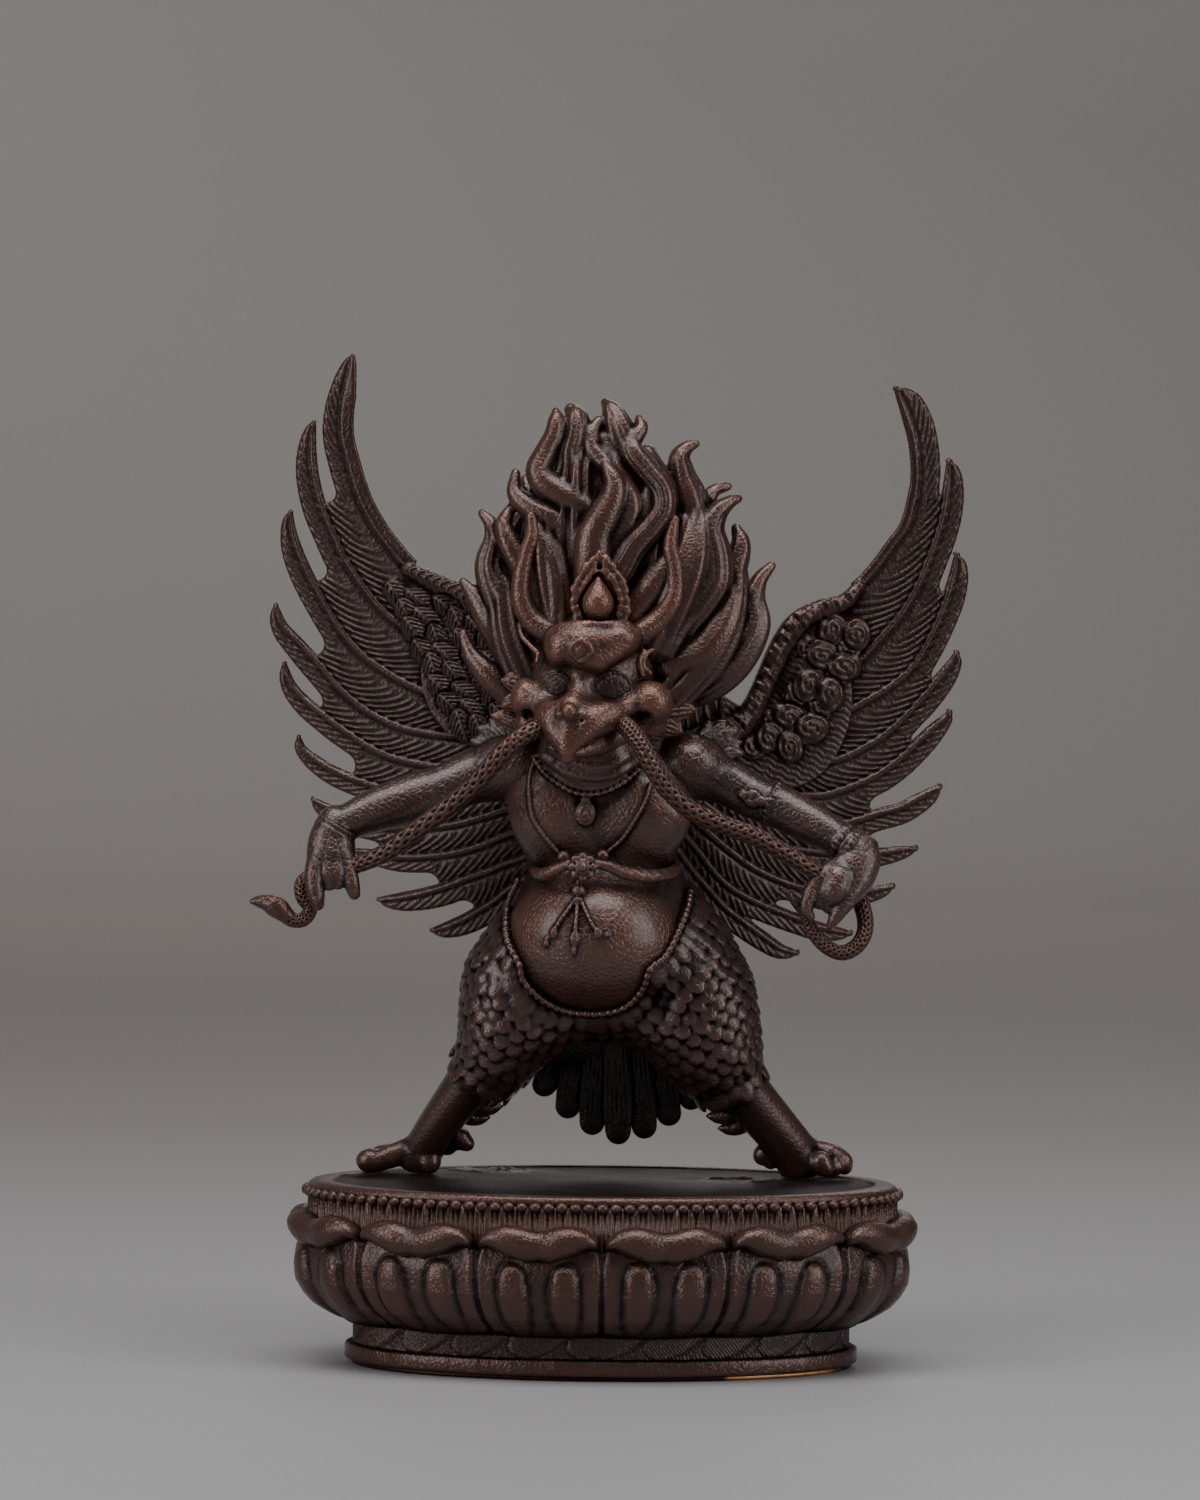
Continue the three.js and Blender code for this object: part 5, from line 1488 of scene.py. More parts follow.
def bandOn(rows, share, girth, beaded):
    # a plain or beaded band round a limb
    centre, side, face, width = stationOf(rows, share)
    reach = width * 0.99

    def spot(t):
        return centre + side * reach * math.cos(t) + face * reach * math.sin(t)

    if not beaded:
        return tube([(*spot(t), girth) for t in np.linspace(0, 2 * math.pi, 25)], sides=10, fine=3)
    beads = int(reach * 2 * math.pi / 0.75)
    along = np.cross(side, face)
    return together(
        [
            pebble(
                spot(t), along, side * math.cos(t) + face * math.sin(t), (0.36, 0.36, girth * 1.15),
                sides=10,
            ) for t in np.arange(beads) / beads * 2 * math.pi
        ]
    )


def makeShoulders(wax):
    # curly leaves where the wings grow out of the shoulders
    leaves = (
        [(11.4, -1.2, 54.6), (12.2, -0.4, 56.2), (12.6, 0.2, 57.8)],
        [(11.9, -1.0, 54.4), (13.4, -0.2, 56.4), (14.8, 0.4, 57.8)],
        [(12.4, -0.8, 54.0), (14.4, -0.2, 55.8), (16.4, 0.4, 56.8)],
        [(12.8, -0.8, 53.6), (14.8, -0.2, 54.8), (16.9, 0.4, 55.2)],
        [(13.6, -0.8, 52.9), (15.4, -0.4, 53.8), (17.2, 0.2, 53.8)],
        [(-11.4, -0.8, 54.8), (-12.4, -0.2, 56.4), (-12.8, 0.4, 58.0)],
        [(-11.8, -0.8, 54.4), (-13.4, 0.0, 56.4), (-14.8, 0.6, 57.8)],
        [(-12.4, -0.6, 54.0), (-14.4, 0.2, 55.8), (-16.4, 0.8, 56.8)],
        [(-13.2, -0.4, 53.6), (-15.2, 0.2, 54.6), (-17.2, 0.8, 55.0)],
    )
    for line in leaves:
        wax.add(leafAlong(line, 1.1, 0.65, 0.15, sides=36), 0.2)


# Legs: thighs clothed in small feathers, bare shanks and bird's feet


def insideHem(x, z):
    # which points, seen from the front, lie on the bare belly
    inside = np.zeros(np.shape(x), bool)
    for (ax, az), (bx, bz) in zip(hem, hem[1:] + hem[:1]):
        crosses = ((az > z) != (bz > z)) & (x < (bx - ax) * (z - az) / (bz - az + 1e-9) + ax)
        inside = inside ^ crosses
    return inside | ((z > 36.5) & (x > -12.0) & (x < 10.6))


def featherPlaces(wax, hemLine, thighs):
    # spots for small feathers: staggered rows at even distances from the hem over the skin of the
    # thighs, in front and then behind
    row = {"first": 1.15, "every": 1.72, "apart": 2.0}
    field, grain = wax.field, wax.grain
    cells = np.argwhere(np.abs(field[2:-2, 2:-2, 2:-2]) < 0.55 * grain) + 2
    points = (cells + wax.first) * grain
    keep = (points[:, 2] > 9.4) & (points[:, 2] < 38.0)
    cells, points = cells[keep][::2], points[keep][::2]
    i, j, k = cells.T
    normals = normalise(np.stack([
        field[i + 1, j, k] - field[i - 1, j, k],
        field[i, j + 1, k] - field[i, j - 1, k],
        field[i, j, k + 1] - field[i, j, k - 1],
    ], -1).astype(float))
    line = hemLine[::3, :3]
    apart = np.stack([np.linalg.norm(points - place, axis=1) for place in line])
    away, nearest = apart.min(axis=0), line[apart.argmin(axis=0)]
    bare = (normals[:, 1] < 0.3) & (insideHem(points[:, 0], points[:, 2]) | (away < row["first"] - 0.15))
    for rows in thighs.values():
        end, before = np.array(rows[-1][:3]), np.array(rows[-2][:3])
        heading = normalise(end - before)
        bare |= (points[:, 0] * end[0] > 0) & (np.abs(points[:, 0]) > 7) & (
            (points - end) @ heading > 2.0
        )
    bare |= (normals[:, 2] < -0.9) & (np.abs(points[:, 0]) < 8)
    points, normals, away, nearest = (v[~bare] for v in (points, normals, away, nearest))
    # feathers lie away from the hem near it and hang down further off
    pull = np.exp(-away / 6)
    downs = normalise(points - nearest) * pull[:, None]
    downs += np.stack([0.04 * points[:, 0] * (1 - pull), 0 * pull, -1 + 0 * pull], -1)
    downs = normalise(downs - normals * (downs * normals).sum(axis=1)[:, None])
    turn = np.arctan2(points[:, 2] - 33, points[:, 0] + 0.7)
    turn = np.where(turn > 0.5 * math.pi, turn - 2 * math.pi, turn)
    places = []
    for facing in (normals[:, 1] < 0.12, normals[:, 1] >= 0.12):
        for tier in range(22):
            level = row["first"] + tier * row["every"]
            band = np.nonzero(facing & (np.abs(away - level) < 0.17))[0]
            steps = np.round(turn[band] / 0.014).astype(int)
            last, walked = None, 0.0
            for step in np.unique(steps):
                members = band[steps == step]
                centre = points[members].mean(axis=0)
                pick = members[np.linalg.norm(points[members] - centre, axis=1).argmin()]
                gap = 9.0 if last is None else np.linalg.norm(centre - last)
                walked = row["apart"] * (0.5 if tier % 2 else 1.0) if gap > 2.5 else walked + gap
                last = centre
                if walked >= row["apart"]:
                    walked -= row["apart"]
                    places.append(pick)
    return points[places], normals[places], downs[places]


def makeLegs(finish):
    # the block of wax begins at the ground, which cuts the soles flat
    wax = Wax((-33.5, -10.5, 0), (33.5, 17.5, 39.5), 0.155, wide=1.4)
    thighs = {
        "left": [
            (-4.4, 3.2, 36.4, 5.4, 6.2), (-6.2, 2.6, 31.5, 5.6, 7.6), (-8.4, 2.3, 28.2, 6.5, 8.0),
            (-10.0, 2.1, 24.5, 7.2, 8.2), (-11.7, 2.0, 19.6, 6.3, 7.6), (-13.1, 2.2, 16.4, 5.2, 6.4),
            (-14.4, 2.6, 14.2, 4.4, 5.2),
        ],
        "right": [
            (4.4, 3.2, 36.4, 5.6, 6.2), (6.6, 2.6, 31.5, 6.5, 7.6), (8.8, 2.3, 27.4, 7.2, 8.0),
            (10.3, 2.1, 23.6, 7.7, 8.2), (12.1, 2.0, 19.2, 7.2, 7.6), (13.8, 2.2, 15.9, 6.0, 6.4),
            (14.9, 2.6, 13.8, 4.9, 5.1),
        ],
    }
    hips = [
        (-0.8, 3.6, 38, 9.0, 6.0), (-0.8, 3.4, 30, 9.2, 8.4), (-0.6, 3.2, 25.2, 9.0, 8.2),
        (-0.5, 3.2, 23.6, 7.4, 6.4),
    ]
    wax.add(tube(hips, sides=40))
    # between the thighs, level with their fronts and arched underneath
    saddle = [
        (-9.0, 2.2, 20.0, 4.8, 7.0), (-4.5, 2.1, 21.9, 4.7, 7.1), (-0.5, 2.0, 22.5, 4.7, 7.1),
        (4.0, 2.1, 21.9, 4.7, 7.1), (9.4, 2.2, 19.8, 4.8, 7.0),
    ]
    wax.add(tube(saddle, sides=40), 1.5)
    for rows in thighs.values():
        wax.add(tube(rows, sides=40), 1.3)
    centre, radii = belly
    wax.add(ball(centre, np.array(radii) - 0.25, sides=60), 2.6)
    shanks = (
        [
            (-14.2, 2.4, 16.0, 3.6), (-16.2, 3.4, 12.6, 3.3), (-18.6, 4.8, 9.4, 2.85),
            (-20.8, 6.4, 6.2, 2.6), (-22.4, 8.0, 3.4, 2.5), (-22.9, 8.8, 1.6, 2.3),
        ],
        [
            (14.6, 2.4, 15.6, 3.6), (16.9, 3.2, 12.2, 3.3), (19.5, 4.6, 8.9, 3.15),
            (22.1, 6.0, 5.8, 3.0), (24.0, 7.2, 3.4, 2.9), (24.7, 8.0, 1.6, 2.7),
        ],
    )
    for rows in shanks:
        wax.add(tube(rows, sides=36), 0.6)
    wax.refine()
    # beaded hem where the feathers begin
    hemLine = np.array(wax.laid(hem))
    places, normals, downs = featherPlaces(wax, hemLine, thighs)
    rim(wax, hem, 0.4, lift=0.25, blend=0.3)
    beadLine(wax, hem, 0.5, 0.95, lift=0.62)
    rng = np.random.default_rng(40)
    for point, normal, down in zip(places, normals, downs):
        # one small feather: a flat oval whose lower end lifts over the row below
        side = normalise(np.cross(down, normal))
        down = normalise(down + side * rng.uniform(-0.1, 0.1))
        lifted = normalise(down + normal * 0.3)
        upright = normalise(normal - lifted * np.dot(normal, lifted))
        radii = np.array([1.28, 0.46, 2.0]) * rng.uniform(0.94, 1.06)
        wax.add(pebble(point + normal * 0.08 + down * 0.3, lifted, upright, radii, sides=18), 0.05)
    report(f"{len(places)} small feathers")
    makeFeet(wax)
    spurs = (
        ((-16.4, 4.6, 10.8), (-11.9, 5.8, 10.6), 1.05), ((-17.4, 5.4, 9.3), (-12.6, 6.4, 8.7), 1.05),
        ((-18.6, 6.2, 8.0), (-14.2, 7.2, 7.2), 0.95), ((16.6, 4.6, 10.2), (12.0, 5.8, 9.7), 1.05),
        ((17.8, 5.4, 8.9), (12.9, 6.4, 7.7), 1.05), ((19.0, 6.2, 7.4), (14.4, 7.2, 6.1), 0.98),
    )
    for root, tip, width in spurs:
        wax.add(leaf(root, tip, -0.5, width, 0.6, 0.16, sides=40), 0.12)
    makePiece("legs", wax.surface(), 125000, finish)


def makeFeet(wax):
    # each foot: knuckled toes that point outwards, and a knobbly hind toe held off the ground
    toes = (
        [
            (-22.6, 8.8, 3.0, 2.1), (-25.2, 8.4, 2.5, 1.65), (-27.6, 7.8, 1.7, 1.4),
            (-29.3, 7.6, 1.5, 1.5), (-29.9, 7.6, 1.5, 1.3),
        ],
        [
            (-22.8, 9.8, 2.4, 2.0), (-26.0, 11.0, 2.1, 1.4), (-28.4, 11.9, 1.7, 1.3),
            (-29.0, 12.1, 1.6, 1.0),
        ],
        [(-22.4, 8.0, 1.8, 1.8), (-22.0, 7.0, 1.4, 1.5), (-21.8, 6.6, 1.2, 1.2)],
        [
            (-22.2, 9.0, 4.4, 1.7), (-20.7, 8.8, 4.7, 1.2), (-19.0, 8.5, 4.3, 1.35),
            (-17.9, 8.3, 4.1, 1.15),
        ],
        [
            (24.0, 8.2, 3.0, 2.2), (26.6, 7.6, 3.1, 1.8), (28.9, 7.4, 2.9, 1.45),
            (30.2, 7.4, 2.1, 1.25), (30.5, 7.4, 1.4, 1.1),
        ],
        [(24.6, 7.0, 2.2, 2.0), (26.8, 5.8, 2.0, 1.4), (27.9, 5.2, 1.5, 1.25), (28.1, 5.1, 1.3, 1.1)],
        [
            (24.4, 9.0, 2.6, 1.9), (26.4, 10.8, 2.2, 1.45), (28.6, 12.0, 1.7, 1.3),
            (29.2, 12.3, 1.5, 1.0),
        ],
        [(23.4, 7.4, 3.4, 1.6), (22.0, 7.2, 3.0, 1.15), (20.8, 7.0, 2.7, 1.35), (20.2, 6.9, 2.6, 1.15)],
    )
    for rows in toes:
        wax.add(tube(rows, sides=32), 0.7)
    knuckles = (
        ((-29.5, 7.5, 1.5), 1.5), ((-26.8, 7.9, 2.2), 1.3), ((-19.7, 8.4, 5.5), 1.05),
        ((-18.2, 8.3, 4.4), 1.5), ((-19.6, 8.7, 3.3), 1.15), ((-17.2, 8.3, 3.7), 1.0),
        ((-24.2, 8.2, 1.6), 1.5), ((-21.9, 6.9, 1.6), 1.5), ((27.5, 5.2, 2.2), 1.35),
        ((30.3, 7.2, 2.0), 1.2), ((28.6, 7.0, 3.1), 1.1), ((29.2, 6.4, 1.5), 1.25),
        ((20.2, 6.8, 2.9), 1.25), ((21.2, 7.0, 1.9), 0.95), ((25.0, 6.6, 1.8), 1.6),
    )
    for centre, size in knuckles:
        wax.add(ball(centre, size, sides=28), 0.35)


# Tail: round-ended feathers, the middle ones lowest and in front


def makeTail(finish):
    shape = ((0, 0.75), (0.5, 0.92), (0.8, 1.0), (0.92, 0.98), (1, 0.86))  # share along, share of the width
    tips = ((-7.5, 11.0), (-4.5, 8.3), (-1.4, 6.3), (1.9, 5.2), (5.2, 5.9), (8.3, 7.5), (11.1, 9.5))
    wax = Wax((-12, 3, 2.8), (15, 15.5, 24), 0.13)
    wax.refine()
    wax.add(
        tube([(0.0, 9.0, 24, 7, 2.0), (0.8, 9.6, 17, 8.0, 1.6), (1.4, 10.4, 12.8, 6.6, 0.9)], sides=36),
        0.1,
    )
    for i, (x, z) in enumerate(tips):
        depth = 8.4 + 0.6 * abs(i - 3)
        fan = x - 1.4
        line = [
            (1.2 + fan * 0.40, depth - 0.6, 23.0), (1.3 + fan * 0.70, depth, 16.5), (x, depth + 0.9, z),
        ]

        def relief(share, turn):
            across = np.cos(turn)
            fade = np.clip((1 - share) / 0.05, 0.3, 1)
            rim = 0.1 * np.exp(-(((np.abs(across) - 0.86) / 0.1) ** 2))
            lines = 0.2 * np.cos(across * 22 + 1.6 * np.sin(share * 6 + i))
            lines = lines + 0.08 * np.cos(across * 47 + 4 * np.sin(share * 9))
            return (rim + lines * (np.abs(across) < 0.74)) * fade * (np.sin(turn) < 0)

        points = smoothLine(line, 9)
        girths = np.interp(np.linspace(0, 1, 9), *zip(*shape)) * 1.9
        rows = [(*point, girth, 0.6) for point, girth in zip(points, girths)]
        wax.add(tube(rows, sides=64, fine=12, relief=relief), 0.06)
        end = points[-1]
        wax.add(ball((end[0], end[1], end[2] + 0.1), (1.62, 0.62, 1.62), sides=32), 0.08)
    makePiece("tail", wax.surface(), 45000, finish)


# Wings: a plate of flight feathers modelled as heights in front of and behind a swept surface

# Each shaft runs from root to tip, as x, z pairs. A notch gives, for a gap, the shaft share of its
# lower feather where the tips part, and the free width. The margins are the bare edge on the far
# side of the first shaft and of the others.
leftWing = {
    "side": -1,
    "shafts": (
        (
            (-18.5, 72.2), (-21.4, 74.2), (-24.8, 75.8), (-28.7, 80.2), (-30.8, 83.5), (-32.1, 86.5),
            (-33.2, 90.1), (-33.9, 93.1), (-33.9, 96.2), (-33.4, 99.4), (-32.7, 103.0),
        ),
        (
            (-22.2, 64.6), (-25.7, 68.6), (-28.0, 70.4), (-30.5, 73.1), (-33.5, 77.4), (-35.0, 80.5),
            (-36.2, 83.2), (-37.1, 86.0), (-37.7, 89.0), (-37.8, 91.8), (-37.6, 94.6),
        ),
        (
            (-19.0, 59.0), (-22.8, 60.6), (-25.8, 61.9), (-28.8, 63.6), (-31.5, 65.6), (-34.2, 68.7),
            (-36.7, 72.8), (-38.4, 75.9), (-39.6, 78.6), (-40.3, 81.2), (-40.5, 83.2),
        ),
        (
            (-16.5, 55.3), (-20.5, 55.3), (-23.2, 55.6), (-25.9, 56.1), (-28.9, 57.3), (-31.6, 58.9),
            (-34.0, 60.9), (-36.2, 63.4), (-38.8, 66.2), (-41.2, 68.7), (-42.3, 71.3),
        ),
        (
            (-14.0, 50.6), (-18.0, 51.0), (-22.0, 51.4), (-25.3, 51.9), (-28.0, 52.6), (-30.7, 53.9),
            (-33.4, 55.6), (-35.9, 57.4), (-38.4, 59.3), (-40.2, 61.4), (-41.1, 63.9),
        ),
        (
            (-12.0, 48.0), (-16.5, 47.6), (-20.8, 47.6), (-24.6, 47.9), (-28.7, 48.5), (-32.7, 49.7),
            (-35.1, 50.7), (-37.1, 51.9), (-38.6, 53.2), (-39.2, 54.6),
        ),
        (
            (-9.4, 47.2), (-13.2, 45.9), (-16.6, 44.8), (-20.0, 43.9), (-24.7, 43.4), (-28.4, 43.5),
            (-31.8, 44.2), (-34.8, 45.5), (-37.3, 46.8),
        ),
        (
            (-9.0, 44.4), (-13.3, 42.6), (-16.0, 41.4), (-19.3, 40.4), (-22.7, 39.9), (-26.1, 39.7),
            (-29.1, 40.0), (-31.8, 40.5),
        ),
        (
            (-8.6, 41.0), (-12.6, 39.3), (-15.3, 38.1), (-18.0, 37.1), (-20.7, 36.0), (-23.4, 35.2),
            (-26.1, 34.6), (-28.7, 34.3),
        ),
        (
            (-7.6, 38.8), (-11.2, 36.9), (-14.0, 34.6), (-16.1, 33.2), (-18.1, 32.0), (-20.1, 31.1),
            (-21.9, 30.6),
        ),
    ),
    "notches": (
        (0.70, 2.5), (0.72, 2.4), (0.74, 2.3), (0.76, 2.2), (0.70, 2.0), (0.66, 1.9), (0.86, 1.8),
        (0.62, 1.9), (0.62, 2.2),
    ),
    "lastVane": 2.2, "margins": (1.25, 0.45), "tipGirth": 0.36, "blunt": 1.0,
}
rightWing = {
    "side": 1,
    "shafts": (
        (
            (27.0, 72.4), (30.4, 73.6), (33.3, 76.3), (36.0, 79.9), (37.6, 82.1), (38.5, 85.1),
            (38.9, 87.7), (38.9, 90.5), (38.4, 93.8), (37.4, 96.8), (36.2, 99.6),
        ),
        (
            (26.4, 59.8), (30.1, 63.2), (33.3, 66.7), (36.6, 70.4), (38.2, 72.7), (39.5, 75.2),
            (40.6, 78.0), (41.7, 81.0), (42.5, 84.1), (42.9, 87.6), (43.1, 90.5),
        ),
        (
            (24.0, 56.8), (28.1, 57.9), (30.1, 58.6), (32.1, 59.7), (34.4, 61.0), (36.8, 62.6),
            (38.8, 64.5), (40.1, 66.5), (41.5, 69.3), (42.6, 71.9), (43.4, 74.4), (43.9, 76.7),
            (44.2, 78.6),
        ),
        (
            (20.5, 52.6), (24.8, 52.2), (27.4, 52.3), (30.0, 52.9), (32.7, 54.2), (34.7, 55.4),
            (36.7, 57.0), (38.7, 59.0), (40.7, 61.2), (42.4, 63.3), (43.8, 65.2), (44.3, 66.1),
        ),
        (
            (18.0, 49.6), (22.6, 48.4), (26.7, 48.1), (29.3, 48.6), (32.0, 49.6), (34.7, 50.9),
            (37.3, 52.8), (39.7, 55.0), (41.7, 56.9), (43.0, 58.0), (43.5, 58.6),
        ),
        (
            (16.0, 47.4), (20.0, 45.6), (24.0, 44.6), (27.3, 44.3), (30.3, 44.6), (32.0, 45.0),
            (34.6, 45.8), (37.3, 46.5), (39.3, 47.5), (41.3, 48.6), (42.3, 49.1),
        ),
        (
            (11.6, 47.6), (15.5, 45.0), (19.4, 42.8), (22.4, 41.7), (25.3, 41.1), (29.9, 40.7),
            (33.9, 40.7), (35.9, 40.9), (37.9, 41.2), (39.3, 41.3),
        ),
        (
            (8.6, 47.2), (11.6, 44.6), (15.5, 41.3), (19.4, 38.6), (24.6, 36.5), (29.9, 35.7),
            (33.9, 36.0), (36.4, 36.5),
        ),
        (
            (8.6, 44.9), (11.4, 41.5), (13.5, 38.7), (15.8, 36.5), (19.0, 34.7), (22.3, 33.3),
            (24.6, 32.4), (27.2, 31.4), (31.0, 30.6),
        ),
        (
            (8.4, 42.4), (10.9, 38.9), (13.1, 36.2), (15.4, 33.8), (18.0, 31.8), (20.3, 30.1),
            (22.2, 28.8), (24.2, 28.2),
        ),
    ),
    "notches": (
        (0.86, 2.8), (0.84, 2.2), (0.84, 2.1), (0.78, 2.1), (0.66, 2.2), (0.78, 2.0), (0.70, 1.7),
        (0.62, 1.9), (0.62, 1.9),
    ),
    "lastVane": 1.9, "margins": (0.55, 0.4), "tipGirth": 0.5, "blunt": 2.0,
}


def wingDepth(x):
    # wings sweep back the further out they go, and their roots dive into the back
    out = np.abs(x) - 12
    return 7 + 0.328 * np.maximum(0, out) + 0.6 * np.minimum(0, out)


def alongShaft(shaft, x, z, side):
    # walked length along a shaft, distance from it (positive towards the next feather), its length
    line = smoothLine(shaft, 150)
    steps = np.linalg.norm(np.diff(line, axis=0), axis=1)
    walked = np.concatenate([[0], np.cumsum(steps)])
    heading = normalise(np.gradient(line, axis=0))
    walk, away = np.empty_like(x), np.empty_like(x)
    for row in range(x.shape[0]):
        dx = x[row][:, None] - line[:, 0]
        dz = z[row][:, None] - line[:, 1]
        nearest = np.argmin(dx * dx + dz * dz, axis=1)
        pick = np.arange(len(nearest))
        ux, uz = heading[nearest].T
        ax, az = dx[pick, nearest], dz[pick, nearest]
        walk[row] = walked[nearest] + np.clip(ax * ux + az * uz, -40, 40)
        away[row] = side * (ax * uz - az * ux)
    return walk, away, walked[-1]


def barbs(walk, away, fade, seed=0):
    # slanting ridges that bend towards the root and taper to points where they fade
    phase = (walk + 2.4 * away - 0.17 * away**2) / 1.5 + 0.13 * seed
    index = np.floor(phase + 0.5)
    fade = np.clip(fade + 0.14 * np.sin(index * 2.7 + seed) * (fade > 0) * (fade < 1), 0, 1)
    crest = (0.5 + 0.5 * np.cos(phase * 2 * math.pi)) ** (0.55 + 2.4 * (1 - fade))
    return 0.36 * crest * np.sqrt(fade) - 0.16 * fade


def makeWing(name, wing, extras, finish):
    side, shafts, notches = wing["side"], wing["shafts"], wing["notches"]
    grain, room, root = 0.145, 3.2, 8.2  # mm of grid, around the shafts, and from the middle
    every = np.array([point for shaft in shafts for point in shaft])
    low, high = every.min(0) - room, every.max(0) + room
    if side > 0:
        low[0] = root
    else:
        high[0] = -root
    xs = np.arange(low[0], high[0], grain)
    zs = np.arange(low[1], high[1] + 1, grain)
    x, z = np.meshgrid(xs, zs, indexing="ij")
    reach = [alongShaft(shaft, x, z, side) for shaft in shafts]
    outline = np.full_like(x, 5.0)
    front = np.full_like(x, 0.55)
    for i, (walk, away, length) in enumerate(reach):
        share = walk / length
        margin = wing["margins"][min(i, 1)]
        last = i == len(notches)
        if last:
            notch, free = 0.5, wing["lastVane"]
        else:
            notch, free = notches[i]
            walkNext, awayNext, lengthNext = reach[i + 1]
        # the free blade of this feather, tapering to its tip
        left = np.clip((share - notch * 0.96) / (1 - notch * 0.96), 0, 1)
        taper = np.sqrt(np.clip(1 - left ** (1.5 + wing["blunt"]), 0, 1))
        vane = free * taper * (1 - 0.12 * left)
        bare = margin * np.clip((1 - share) / 0.14, 0.0, 1) ** 0.6
        blade = np.maximum(-away - bare, away - vane)
        beyond = walk - length
        blade = np.where(
            beyond > 0, np.hypot(beyond, away) - wing["tipGirth"], blade - wing["tipGirth"] * 0.5,
        )
        blade = np.where((share < 0.04) & (i > 0), 5.0, blade)
        outline = softMin(outline, blade, 0.35)
        # heights of the front: barbs on the far part of the vane, a smooth strip, then the shaft
        onTip = away > 0
        if not last:
            web = np.maximum(np.maximum(walkNext - notch * lengthNext, -away), awayNext)
            web = np.where(walk > length, 5.0, web)
            outline = softMin(outline, web, 1.6)
            across = np.clip(away / np.maximum(away - awayNext, 0.3), 0, 1.3)
            inGap = onTip & (awayNext < 0) & (walkNext < notch * lengthNext)
            ridges = barbs(walkNext, -awayNext, np.clip((across - 0.26) / 0.55, 0, 1), i)
            strip = 0.5 - 0.32 * across
            front = np.where(inGap, strip + ridges, front)
            onTip = onTip & ~inGap & (awayNext < 0) & (share > notch * 0.6)
        tipAcross = np.clip(away / free, 0, 1.2)
        fade = np.clip((tipAcross - 0.2) / 0.5, 0, 1) * np.clip((0.97 - share) / 0.1, 0, 1)
        tipRidges = barbs(walk, free - away, fade, i)
        front = np.where(onTip, 0.52 - 0.15 * tipAcross + 0.6 * tipRidges, front)
    for i, (walk, away, length) in enumerate(reach):
        share = walk / length
        girth = (0.48 - 0.14 * np.clip(share, 0, 1)) * np.clip((1.02 - share) / 0.16, 0.35, 1) ** 0.7
        groove = 0.2 * np.exp(-(((away - girth - 0.2) / 0.2) ** 2))
        groove = groove + 0.16 * np.exp(-(((away + girth + 0.2) / 0.18) ** 2)) * (i > 0)
        live = (share > 0.02) & (walk < length - 0.4)
        front = np.where(live, front - groove, front)
        roof = np.sqrt(np.clip(1 - (away / girth) ** 2, 0, 1)) * girth * 0.95
        front = np.where(live & (np.abs(away) < girth), np.maximum(front, 0.24 + roof), front)
    front = np.maximum(front, 0.12)
    front, outline = extras(x, z, front, outline)
    behind = np.full_like(x, 0.45) + 0.18 * np.exp(-(outline + 2) ** 2)
    for i, (walk, away, length) in enumerate(reach):
        live = (walk > 0) & (walk < length)
        behind = np.where(live, np.maximum(behind, 0.45 + 0.35 * np.exp(-((away / 0.5) ** 2))), behind)
        ripple = 0.05 * np.cos((walk + 1.6 * away) / 1.72 * 2 * math.pi)
        behind = np.where(live & (away > 0) & (away < 3.2), behind + ripple, behind)
    edge = np.clip(-outline / 0.55, 0, 1)
    rounded = np.sqrt(1 - (1 - edge) ** 2)
    front = np.where(outline < 0, front * rounded, -outline)
    behind = np.where(outline < 0, behind * rounded, -outline)
    # the plate between its front and its back, as distances on a grid with three spare cells around
    tMin, tMax = -float(front.max()) - 4 * grain, float(behind.max()) + 4 * grain
    ts = np.arange(math.floor(tMin / grain), math.ceil(tMax / grain) + 1)
    depths = ts[None, :, None] * grain
    spare, band = 3, 3 * grain
    field = np.clip(np.maximum(-depths - front[:, None], depths - behind[:, None]), -band, band)
    solid = np.pad(field.astype(np.float32), spare, constant_values=np.float32(band))
    grid = vdb.FloatGrid(band)
    grid.copyFromArray(solid)
    points, triangles, quads = grid.convertToPolygons(isovalue=0)
    faces = np.vstack([quads[:, [0, 1, 2]], quads[:, [0, 2, 3]], triangles.reshape(-1, 3)]).astype(int)
    points = (points.astype(float) - spare) * grain
    px = points[:, 0] + xs[0]
    pz = points[:, 2] + zs[0]
    py = points[:, 1] + ts[0] * grain + wingDepth(px)
    shape = largestOf(np.stack([px, py, pz], -1), faces)
    makePiece(name, shape, 105000, finish)


def largestOf(points, faces):
    # keeps the biggest connected shell
    label = np.arange(len(points))
    while True:
        least = label[faces].min(axis=1)
        brightCopperShare = label.copy()
        for corner in range(3):
            np.minimum.at(brightCopperShare, faces[:, corner], least)
        brightCopperShare = brightCopperShare[brightCopperShare]
        if (brightCopperShare == label).all():
            break
        label = brightCopperShare
    counts = np.bincount(label[faces[:, 0]], minlength=len(points))
    keep = label[faces[:, 0]] == counts.argmax()
    faces = faces[keep]
    used = np.unique(faces)
    renumber = np.zeros(len(points), int)
    renumber[used] = np.arange(len(used))
    return points[used], renumber[faces]


